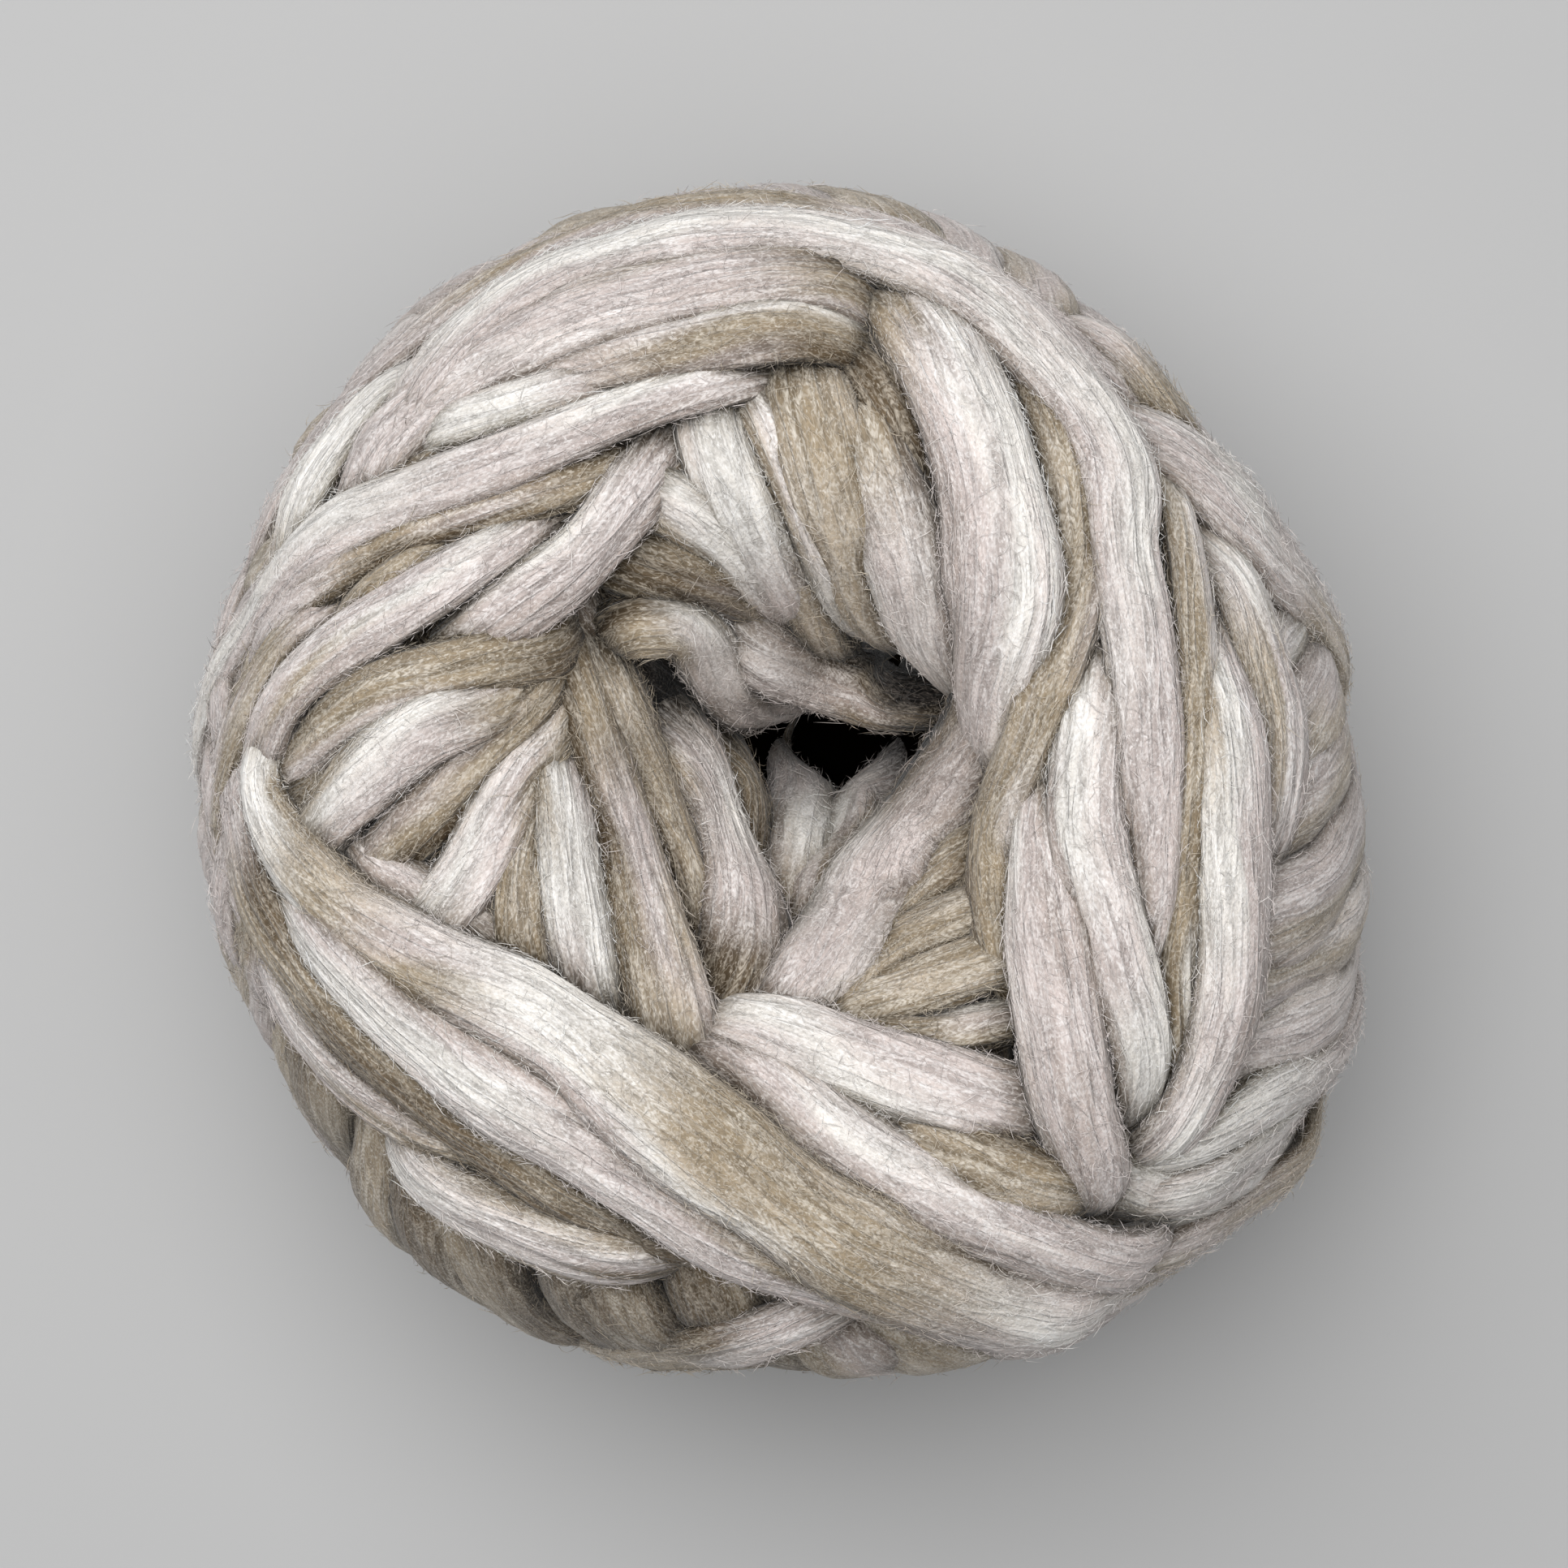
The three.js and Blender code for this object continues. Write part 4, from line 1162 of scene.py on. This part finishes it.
@dataclass(frozen=True)
class RovingFinish:
    """Soft brushed roving: ribs and fibres that run along the strand, and pale glints of painted highlight.

    A streak is a length along the strand and a width across it. A span is a range of a noise or a wave, and
    the range of light that it becomes.
    """

    roughness: float = 0.94
    sheen: float = 0.18
    sheen_roughness: float = 0.45
    specular: float = 0.15
    rib: Streak = (8.0, 1.1)
    fibre: Streak = (0.38, 0.28)
    mottle: Streak = (5.0, 2.6)
    glint: Streak = (0.60, 0.28)
    thread: Streak = (14.0, 1.3)
    patch: Streak = (16.0, 5.0)
    curl: Streak = (1.20, 0.62)
    thread_thinness: float = 0.09
    curl_thinness: float = 0.055
    thread_level: float = 0.50
    seam_level: float = 0.40
    rib_span: Span = (0.30, 0.64, 0.88, 1.02)
    fibre_span: Span = (0.25, 0.75, 0.76, 1.16)
    mottle_span: Span = (0.30, 0.66, 0.82, 1.05)
    seam_span: Span = (0.0, 1.0, 1.0, 0.74)
    patch_span: Span = (0.40, 0.60, 0.30, 0.90)
    bead_span: Span = (-0.6, 0.5, 0.25, 1.0)
    glint_span: Span = (0.56, 0.68, 0.0, 0.80)
    bead_length: float = 1.05
    bead_ripple: float = 45.0
    curl_light: float = 0.45
    pale_gamma: float = 0.40
    thread_relief: float = 0.35
    bump: float = 0.8
    rib_depth: float = 0.45
    fibre_depth: float = 0.17
    grain_detail: float = 2.0
    grain_roughness: float = 0.6
    line_detail: float = 1.0
    line_distortion: float = 0.4

    def _lines(
        self, sheet: NodeSheet, place: Socket, streak: Streak, thinness: float, level: float
    ) -> Socket:
        """Thin wandering lines along the strand, where a drawn-out noise passes a level.

        Args:
            sheet: the material's nodes.
            place: the straightened strand's points.
            streak: size of a bend along the strand, and space between lines across it.
            thinness: how much of the noise counts as a line.
            level: the noise on the middle of a line.

        Returns:
            One on a line and none off it.
        """
        noise = self._grain(sheet, place, streak)
        noise.inputs["Detail"].default_value = self.line_detail
        noise.inputs["Distortion"].default_value = self.line_distortion
        off = sheet.reckon("SUBTRACT", noise.outputs["Fac"], level)
        return sheet.ranged(sheet.reckon("ABSOLUTE", off), (0.0, thinness, 1.0, 0.0))

    def _grain(self, sheet: NodeSheet, place: Socket, streak: Streak) -> bpy.types.Node:
        """A noise drawn out along the strand.

        Args:
            sheet: the material's nodes.
            place: the straightened strand's points.
            streak: size of a streak along the strand and across it.

        Returns:
            The noise node.
        """
        length, width = streak
        scale = (1 / (length * MM), 1 / (width * MM), 1 / (width * MM))
        stretched = sheet.add("VectorMath", {1: scale}, {0: place}, operation="MULTIPLY")
        values = {"Scale": 1.0, "Detail": self.grain_detail, "Roughness": self.grain_roughness}
        return sheet.add("TexNoise", values, {"Vector": stretched.outputs[0]})

    def material(self) -> bpy.types.Material:
        """Puts the finish together.

        Returns:
            The material.
        """
        sheet = NodeSheet("roving")
        colour = sheet.attribute(COLOUR_NAME, "Color")
        place = sheet.attribute(PLACE_NAME, "Vector")
        streaks = (self.rib, self.fibre, self.mottle, self.glint, self.patch)
        grains = [self._grain(sheet, place, streak).outputs["Fac"] for streak in streaks]
        ribs, fibres, mottles, glints, patches = grains
        threads = self._lines(sheet, place, self.thread, self.thread_thinness, self.thread_level)
        seams = self._lines(sheet, place, self.thread, self.thread_thinness, self.seam_level)
        curls = self._lines(sheet, place, self.curl, self.curl_thinness, self.thread_level)
        light = sheet.ranged(mottles, self.mottle_span)
        for value, span in ((ribs, self.rib_span), (fibres, self.fibre_span), (seams, self.seam_span)):
            light = sheet.reckon("MULTIPLY", light, sheet.ranged(value, span))
        body = sheet.add("HueSaturation", None, {"Color": colour, "Value": light})
        pale = sheet.add("Gamma", {"Gamma": self.pale_gamma}, {"Color": colour})
        along = sheet.add("SeparateXYZ", None, {0: place}).outputs[0]
        ripple = sheet.reckon("MULTIPLY", ribs, self.bead_ripple)
        bead_turn = sheet.reckon("MULTIPLY_ADD", along, math.tau / (self.bead_length * MM), ripple)
        bead_light = sheet.ranged(sheet.reckon("SINE", bead_turn), self.bead_span)
        beads = sheet.reckon("MULTIPLY", threads, bead_light)
        thread = sheet.reckon("MULTIPLY", beads, sheet.ranged(patches, self.patch_span))
        curl = sheet.reckon("MULTIPLY_ADD", curls, self.curl_light, thread)
        # Glints are painted highlights: pale specks mixed into the base colour.
        glint = sheet.ranged(glints, self.glint_span)
        paleness = sheet.reckon("MAXIMUM", curl, glint, use_clamp=True)
        mixed = sheet.add(
            "Mix", None, {0: paleness, 6: body.outputs[0], 7: pale.outputs[0]}, data_type="RGBA"
        )
        relief = sheet.reckon("MULTIPLY_ADD", threads, self.thread_relief, ribs)
        rib_bump = {"Strength": self.bump, "Distance": self.rib_depth * MM}
        fibre_bump = {"Strength": self.bump, "Distance": self.fibre_depth * MM}
        low = sheet.add("Bump", rib_bump, {"Height": relief})
        high = sheet.add("Bump", fibre_bump, {"Height": fibres, "Normal": low.outputs[0]})
        values = {
            "Roughness": self.roughness,
            "Sheen Weight": self.sheen,
            "Sheen Roughness": self.sheen_roughness,
            "Specular IOR Level": self.specular,
        }
        return sheet.finish(values, {"Base Color": mixed.outputs[2], "Normal": high.outputs[0]})


@dataclass(frozen=True)
class PlainFinish:
    """A finish with no pattern of its own, in the colours that the mesh holds."""

    name: str
    roughness: float
    sheen: float
    specular: float

    def material(self) -> bpy.types.Material:
        """Puts the finish together.

        Returns:
            The material.
        """
        sheet = NodeSheet(self.name)
        values = {
            "Roughness": self.roughness,
            "Sheen Weight": self.sheen,
            "Specular IOR Level": self.specular,
        }
        return sheet.finish(values, {"Base Color": sheet.attribute(COLOUR_NAME, "Color")})


# Single loose fibres, and the inside of the ball: matt and without sheen, in colours of painted shade.
LOOSE_FIBRE = PlainFinish("loose_fibre", 0.7, 0.2, 0.25)
HOLLOW = PlainFinish("hollow", 1.0, 0.0, 0.0)


@dataclass
class WoundBall:
    """The whole ball: the form inside, the bands of turns, and their fuzz."""

    form: WoundForm

    # Turns of the upper end, and their tails down the side.
    shows_above: float = -2.5
    loop_lift: float = 3.9
    tuck_length: float = 6.0
    tuck_depth: float = 3.5
    tail_rises: tuple[float, ...] = (0.9, 1.4, 1.9)
    tail_level: float = 0.4
    tail_dive: float = 4.6

    # Turns down the side.
    side_turns: int = 42
    side_width: float = 11.2
    side_taper: tuple[float, ...] = (0.62, 1.0, 1.0, 0.6)
    side_slant: float = 24.0
    side_sink: float = 2.6
    side_narrowing: float = 0.3
    side_tuck: float = 3.0
    side_sway: float = 0.5
    side_sway_step: float = 9.0
    side_degrees: tuple[int, ...] = (88, 74, 58, 40, 22, 4, -14, -32, -50, -66, -80)
    side_stray: float = 0.12
    slant_stray: float = 2.5
    width_stray: float = 0.08

    # Painted shade in the creases.
    crease_looks: int = 18
    crease_depth: float = 2.6
    side_crease_depth: float = 1.5

    # Turns underneath.
    under_bands: int = 3
    under_offsets: tuple[float, ...] = (7.0, 14.5, 22.0, 29.5, 37.0)
    under_parts: tuple[float, ...] = (-1, -0.6, -0.2, 0.2, 0.6, 1)
    under_width: float = 9.5
    under_taper: tuple[float, ...] = (0.8, 1.0, 0.8)
    under_reach: float = 54.0
    under_tuck: float = 3.5
    under_lean: float = 0.6

    # Earlier turns below the rest.
    bedding_turns: int = 34
    bedding_widths: tuple[float, ...] = (10.0, 8.0, 5.0, 3.0)
    bedding_stray: float = 0.2
    bedding_sink: float = 2.0
    # Nearer the middle than this share, the earlier turns are painted in shadow.
    bedding_dark_share: float = 0.36

    # The form inside, in colours of painted shade.
    core_sides: int = 96
    core_floor: float = 0.2
    core_inset: float = 2.6
    core_well_inset: float = 0.6
    core_degrees: tuple[int, ...] = tuple(range(-80, 90, 10))
    core_well_parts: tuple[float, ...] = (0.85, 0.7, 0.55, 0.4, 0.26)
    core_bore_heights: tuple[float, ...] = (40.0, 32.0)
    core_well_share: float = 0.6
    core_side_light: float = 0.3
    core_well_light: float = 0.02
    core_rim_light: float = 0.25
    core_light_height: float = 65.0
    core_light_rise: float = 25.0

    # Loose fibres, and the random draws.
    fibre_thickness: tuple[float, float] = (0.050, 0.095)
    seed: int = 20
    seeds_per_ball: int = 1000

    FUZZ = {
        Layer.WELL: 13500,
        Layer.LEFT: 15500,
        Layer.RIGHT: 16500,
        Layer.FRONT: 14500,
        Layer.SIDE: 11500,
        Layer.UNDER: 2500,
    }

    def __post_init__(self) -> None:
        """Sets up the random draws and the materials."""
        self.random = np.random.default_rng(self.seed)
        self.roving = RovingFinish().material()
        self.fuzz = LOOSE_FIBRE.material()
        self.hollow = HOLLOW.material()
        self.strand_number = 0

    def _strand(self, stops: list[Stop], widths: tuple[float, ...], grain: Grain) -> Strand:
        """A strand with the next seed."""
        self.strand_number += 1
        return Strand(stops, widths, self.seed * self.seeds_per_ball + self.strand_number, grain)

    def _tail_sink(self, width: float) -> float:
        """How deep the middle of a tail lies, so that its back stands off the side."""
        rise = self.tail_rises[self.strand_number % len(self.tail_rises)]
        return Strand.FLATNESS * Strand.FULLNESS * width / 2 - rise

    def _tail(self, near: Stop, before: Stop, distance: float, sink: float) -> list[Stop]:
        """Stops that carry a turn on down the side of the ball.

        Args:
            near: the turn's end stop.
            before: the stop before it.
            distance: how far it runs on.
            sink: how deep its middle lies.

        Returns:
            The stops past the end, in order.
        """
        heading = unit(near.middle - before.middle)
        spots = self.form.walk(near.middle, heading, distance)
        parts = np.arange(1, len(spots) + 1) / len(spots)
        sinks = sink + self.tail_dive * ease((parts - self.tail_level) / (1 - self.tail_level))
        return [
            Stop(self._inset(spot, depth), spot.out, near.stripes, 1.0) for spot, depth in zip(spots, sinks)
        ]

    def _tuck(self, near: Stop, before: Stop) -> Stop:
        """A last stop that hides a turn's end under the turns beside it.

        Args:
            near: the turn's end stop.
            before: the stop before it.

        Returns:
            The stop past the end.
        """
        heading = unit(near.middle - before.middle)
        middle = near.middle + heading * self.tuck_length - near.out * self.tuck_depth
        return Stop(middle, near.out, near.stripes, 0.0)

    def table_turn(self, turn: Turn) -> Strand:
        """A turn of the upper end, with the tails that run on down the side.

        Args:
            turn: its row of the table.

        Returns:
            The strand.
        """
        stops = []
        last = len(turn.route) - 1
        start_sink = self._tail_sink(turn.widths[0])
        end_sink = self._tail_sink(turn.widths[-1])
        for i, ((x, y, lift), stripes) in enumerate(zip(turn.route, turn.stripes.split())):
            spot = self.form.top(x, y)
            if i == 0 and turn.tails[0]:
                lift = -start_sink
            if i == last and turn.tails[1]:
                lift = -end_sink
            way = UP if spot.in_well and lift > 0 else spot.out
            shows = 1.0 if lift > self.shows_above else 0.0
            out = way if lift > self.loop_lift else spot.out
            stops.append(Stop(spot.point + way * lift, out, stripes, shows))
        before = [self._tuck(stops[0], stops[1])]
        if turn.tails[0]:
            before = self._tail(stops[0], stops[1], turn.tails[0], start_sink)[::-1]
        after = [self._tuck(stops[-1], stops[-2])]
        if turn.tails[1]:
            after = self._tail(stops[-1], stops[-2], turn.tails[1], end_sink)
        strand = self._strand(before + stops + after, turn.widths, FINE_GRAIN)
        LOG.debug("%s: %.0f mm long", turn.name, strand.length)
        return strand

    def side_strands(self) -> list[Strand]:
        """The turns that run down the side, leaning a little.

        Returns:
            The strands.
        """
        strands = []
        for number in range(self.side_turns):
            aside, lean, swell, _ = self.random.normal(0, 1, 4)
            bearing = math.tau * (number + self.side_stray * aside) / self.side_turns
            slant = math.radians(self.side_slant + self.slant_stray * lean)
            width = self.side_width * (1 + self.width_stray * swell)
            stripes = SIDE_STRIPES[number % len(SIDE_STRIPES)]
            stops = []
            for degrees in self.side_degrees:
                angle = math.radians(degrees)
                spot = self.form.side(bearing - slant * degrees / 90, angle)
                tucked = degrees in (self.side_degrees[0], self.side_degrees[-1])
                sway = self.side_sway * math.sin(degrees / self.side_sway_step + number)
                narrow = 1.0 - self.side_narrowing * abs(math.sin(angle))
                sink = self.side_sink * narrow + (self.side_tuck if tucked else sway)
                stops.append(Stop(self._inset(spot, sink), spot.out, stripes, 0.0 if tucked else 1.0))
            widths = tuple(width * part for part in self.side_taper)
            strands.append(self._strand(stops, widths, SIDE_GRAIN))
        return strands

    def under_strands(self) -> list[Strand]:
        """The turns underneath, in bands that cross like a pinwheel.

        Returns:
            The strands.
        """
        strands = []
        widths = tuple(self.under_width * part for part in self.under_taper)
        for band in range(self.under_bands):
            turned = math.tau * band / self.under_bands
            for number, offset in enumerate(self.under_offsets):
                reach = math.sqrt(self.under_reach**2 - offset**2)
                stripes = UNDER_STRIPES[(band * 2 + number) % len(UNDER_STRIPES)]
                stops = []
                for part in self.under_parts:
                    x = reach * part * math.cos(turned) - offset * math.sin(turned)
                    y = reach * part * math.sin(turned) + offset * math.cos(turned)
                    spot = self.form.under(x, y)
                    sink = self.under_tuck if abs(part) == 1 else -self.under_lean * part
                    stops.append(Stop(self._inset(spot, sink), spot.out, stripes, 1.0))
                strands.append(self._strand(stops, widths, SIDE_GRAIN))
        return strands

    def bedding_strands(self) -> list[Strand]:
        """Earlier turns that swirl from the shoulder into the well and show only between the others.

        Returns:
            The strands.
        """
        strands = []
        for number in range(self.bedding_turns):
            stray = self.bedding_stray * self.random.normal()
            bearing = math.tau * (number + stray) / self.bedding_turns
            stripes = BEDDING_STRIPES[number % len(BEDDING_STRIPES)]
            stops = []
            for share, swirl, tuck in BEDDING_ROUTE:
                turned = bearing + math.radians(swirl)
                reach = share * self.form.radius(turned)
                pull = max(0.0, 1 - share / self.form.crest_share)
                x = reach * math.cos(turned) + self.form.well_centre[0] * pull
                y = reach * math.sin(turned) + self.form.well_centre[1] * pull
                spot = self.form.top(x, y)
                # Deep in the well the turns are painted in shadow.
                seen = stripes if share > self.bedding_dark_share else Shade.SHADOW.value[0]
                stops.append(Stop(self._inset(spot, self.bedding_sink + tuck), spot.out, seen, 0.0))
            strands.append(self._strand(stops, self.bedding_widths, HIDDEN_GRAIN))
        return strands

    def core(self) -> bpy.types.Object:
        """The wound form under the strands: flat spot, rounded side, well and bore.

        Returns:
            The piece.
        """
        form = self.form
        inset = self.core_inset
        well_inset = inset * self.core_well_inset
        rows = [lambda bearing: UP * self.core_floor, self._flat_spot]
        for tilt in np.radians(self.core_degrees):
            rows.append(lambda bearing, tilt=tilt: self._inset(form.side(bearing, tilt), inset))
        for part in self.core_well_parts:
            rows.append(lambda bearing, part=part: self._inset(self._funnel(bearing, part), well_inset))
        for height in (*self.core_bore_heights, form.bore_floor_height):
            rows.append(lambda bearing, height=height: self._bore(bearing, height))
        rows.append(lambda bearing: np.array((*form.well_centre, form.bore_floor_height)))
        angle, share, triangles = tube_seed(self.core_sides, len(rows) - 1)
        numbers = np.round(share * (len(rows) - 1)).astype(int)
        points = np.array([rows[number](bearing) for number, bearing in zip(numbers, angle)])
        # Painted shade: the core is DARK at a part of its light, near black down the well and in the bore,
        # rising towards the rim, and dim on the side.
        rise = ease((points[:, 2] - self.core_light_height) / self.core_light_rise)
        well_light = self.core_well_light + self.core_rim_light * rise
        light = np.where(share > self.core_well_share, well_light, self.core_side_light)
        colours = Shade.DARK.linear * light[:, None]
        return self._finished(piece_from("core_turns", points, triangles, colours, None), self.hollow)

    def _flat_spot(self, bearing: float) -> Array:
        """A point on the edge of the flat spot underneath."""
        way = np.array((math.cos(bearing), math.sin(bearing), 0))
        return way * self.form.flat_spot_radius + UP * self.core_floor

    @staticmethod
    def _inset(spot: Spot, depth: float) -> Array:
        """A point under a place on the form."""
        return spot.point - spot.out * depth

    def _funnel(self, bearing: float, part: float) -> Spot:
        """A place in the well's funnel.

        Args:
            bearing: radians counter-clockwise from +X.
            part: the part of the way out to the crest.

        Returns:
            The place.
        """
        reach = self.form.radius(bearing) * self.form.crest_share * part
        x = math.cos(bearing) * reach + self.form.well_centre[0] * (1 - part)
        y = math.sin(bearing) * reach + self.form.well_centre[1] * (1 - part)
        return self.form.top(x, y)

    def _bore(self, bearing: float, height: float) -> Array:
        """A point on the bore's wall.

        Args:
            bearing: radians counter-clockwise from +X.
            height: how high it is.

        Returns:
            The point.
        """
        x = self.form.well_centre[0] + math.cos(bearing) * self.form.bore_radius
        y = self.form.well_centre[1] + math.sin(bearing) * self.form.bore_radius
        return np.array((x, y, height))

    @staticmethod
    def _finished(piece: bpy.types.Object, material: bpy.types.Material) -> bpy.types.Object:
        """Gives a piece its material and its place on the part.

        Args:
            piece: the piece.
            material: its material.

        Returns:
            The piece.
        """
        piece.data.materials.append(material)
        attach(piece, BODY)
        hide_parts(NODE)
        return piece

    def turns_piece(self, layer: Layer, strands: list[Strand]) -> bpy.types.Object:
        """The strands of a band as one mesh.

        Args:
            layer: the band.
            strands: its strands.

        Returns:
            The piece.
        """
        skins = [strand.skin() for strand in strands]
        points, triangles = joined([(skin[0], skin[1]) for skin in skins])
        colours = np.concatenate([skin[2] for skin in skins])
        places = np.concatenate([skin[3] for skin in skins])
        piece = piece_from(f"{layer.value}_turns", points, triangles, colours, places)
        return self._finished(piece, self.roving)

    def fuzz_piece(self, layer: Layer, strands: list[Strand]) -> bpy.types.Object:
        """The loose fibres of a band as one mesh.

        Args:
            layer: the band.
            strands: its strands.

        Returns:
            The piece.
        """
        whole = sum(strand.showing_area for strand in strands)
        parts = []
        colours = []
        for strand in strands:
            for kind in FIBRE_KINDS:
                count = round(self.FUZZ[layer] * kind.share * strand.showing_area / whole)
                if not count:
                    continue
                paths, tints = strand.fibres(count, kind)
                thickness = self.random.uniform(*self.fibre_thickness, count)
                parts.append(fibre_skins(paths, thickness))
                colours.append(np.repeat(tints, len(parts[-1][0]) // count, axis=0))
        points, triangles = joined(parts)
        piece = piece_from(f"{layer.value}_fuzz", points, triangles, np.concatenate(colours), None)
        return self._finished(piece, self.fuzz)

    def shade_creases(self, bands: dict[Layer, list[Strand]]) -> None:
        """Paints shade into the strands' colours where they lie close to others.

        Args:
            bands: every strand of the ball, by its band.
        """
        points, triangles = joined([strand.skin()[:2] for strands in bands.values() for strand in strands])
        ball = BVHTree.FromPolygons(points.tolist(), triangles.tolist())
        turn = np.arange(self.crease_looks) * math.pi * (3 - math.sqrt(5))
        height = np.sqrt(1 - (np.arange(self.crease_looks) + 0.5) / self.crease_looks)
        flat = np.sqrt(1 - height**2)
        ways = np.stack((np.cos(turn) * flat, np.sin(turn) * flat, height), axis=1)
        for layer, strands in bands.items():
            depth = self.side_crease_depth if layer is Layer.SIDE else self.crease_depth
            for strand in strands:
                strand.find_creases(ball, ways, depth)

    def build(self) -> list[bpy.types.Object]:
        """Builds every piece of the ball.

        Returns:
            The pieces.
        """
        bands = {layer: [self.table_turn(turn) for turn in turns] for layer, turns in TURNS.items()}
        bands[Layer.SIDE] = self.side_strands()
        bands[Layer.UNDER] = self.under_strands()
        bedding = self.bedding_strands()
        self.shade_creases({Layer.BEDDING: bedding, **bands})
        pieces = [self.core(), self.turns_piece(Layer.BEDDING, bedding)]
        for layer, strands in bands.items():
            pieces.append(self.turns_piece(layer, strands))
            pieces.append(self.fuzz_piece(layer, strands))
        return pieces


@dataclass(frozen=True)
class Softbox:
    """A square soft light: its name, its place, its side and its power in watts."""

    name: str
    place: tuple[float, float, float]
    size: float
    watts: float

    def build(self, aim_height: float) -> None:
        """Hangs the light so that it faces the ball.

        Args:
            aim_height: the height on the ball's axis that it faces.
        """
        lamp = bpy.data.lights.new(self.name, "AREA")
        lamp.size = self.size
        lamp.energy = self.watts
        holder = bpy.data.objects.new(self.name, lamp)
        holder.location = self.place
        aim = np.array(self.place) - UP * aim_height
        flat = math.hypot(aim[0], aim[1])
        holder.rotation_euler = (math.atan2(flat, aim[2]), 0.0, math.atan2(aim[1], aim[0]) + math.pi / 2)
        bpy.context.scene.collection.objects.link(holder)


@dataclass(frozen=True)
class Studio:
    """The plain floor, the soft lights, and the camera straight above the ball."""

    floor_size: float = 4.0
    floor_shade: tuple[float, float, float, float] = (0.48, 0.48, 0.48, 1.0)
    floor_roughness: float = 0.85
    softboxes: tuple[Softbox, ...] = (
        Softbox("key_softbox", (-0.26, 0.34, 0.95), 0.90, 7.4),
        Softbox("top_softbox", (0.02, 0.05, 1.10), 0.90, 6.0),
    )
    aim_height: float = 0.05
    sky_shade: tuple[float, float, float, float] = (0.98, 0.99, 1.0, 1.0)
    ambient: float = 0.21
    camera_height: float = 0.600
    frame_width: float = 0.1808
    frame_height: float = 0.046
    sensor: float = 36.0
    clip_start: float = 0.01

    def floor(self) -> None:
        """Lays the floor."""
        shape = bmesh.new()
        bmesh.ops.create_grid(shape, x_segments=1, y_segments=1, size=self.floor_size / 2)
        mesh = bpy.data.meshes.new("floor")
        shape.to_mesh(mesh)
        shape.free()
        floor = bpy.data.objects.new("floor", mesh)
        bpy.context.scene.collection.objects.link(floor)
        values = {"Base Color": self.floor_shade, "Roughness": self.floor_roughness}
        mesh.materials.append(NodeSheet("pale_floor").finish(values))

    def lights(self) -> None:
        """Sets a soft light from the upper left, one from above, and a weak fill."""
        for softbox in self.softboxes:
            softbox.build(self.aim_height)
        world = bpy.data.worlds.new("studio")
        world.use_nodes = True
        sky = world.node_tree.nodes["Background"]
        sky.inputs["Color"].default_value = self.sky_shade
        sky.inputs["Strength"].default_value = self.ambient
        bpy.context.scene.world = world
        bpy.context.scene.view_settings.view_transform = "Standard"

    def camera(self) -> None:
        """Sets the camera straight above, with the picture's own spread."""
        lens = bpy.data.cameras.new("camera")
        lens.sensor_width = self.sensor
        lens.lens = self.sensor * (self.camera_height - self.frame_height) / self.frame_width
        lens.clip_start = self.clip_start
        camera = bpy.data.objects.new("camera", lens)
        camera.location = (ROW_SHIFT[0] * MM, ROW_SHIFT[1] * MM, self.camera_height)
        bpy.context.scene.collection.objects.link(camera)
        bpy.context.scene.camera = camera

    def build(self) -> None:
        """Sets up the whole studio."""
        self.floor()
        self.lights()
        self.camera()


def main() -> None:
    """Builds the studio and the ball."""
    logging.basicConfig(level=logging.INFO, format="%(message)s")
    Studio().build()
    total = 0
    for piece in WoundBall(WoundForm()).build():
        faces = len(piece.data.polygons)
        total += faces
        LOG.info("%s: %d triangles", piece.name, faces)
    LOG.info("all pieces: %d triangles", total)


if __name__ == "__main__":
    main()
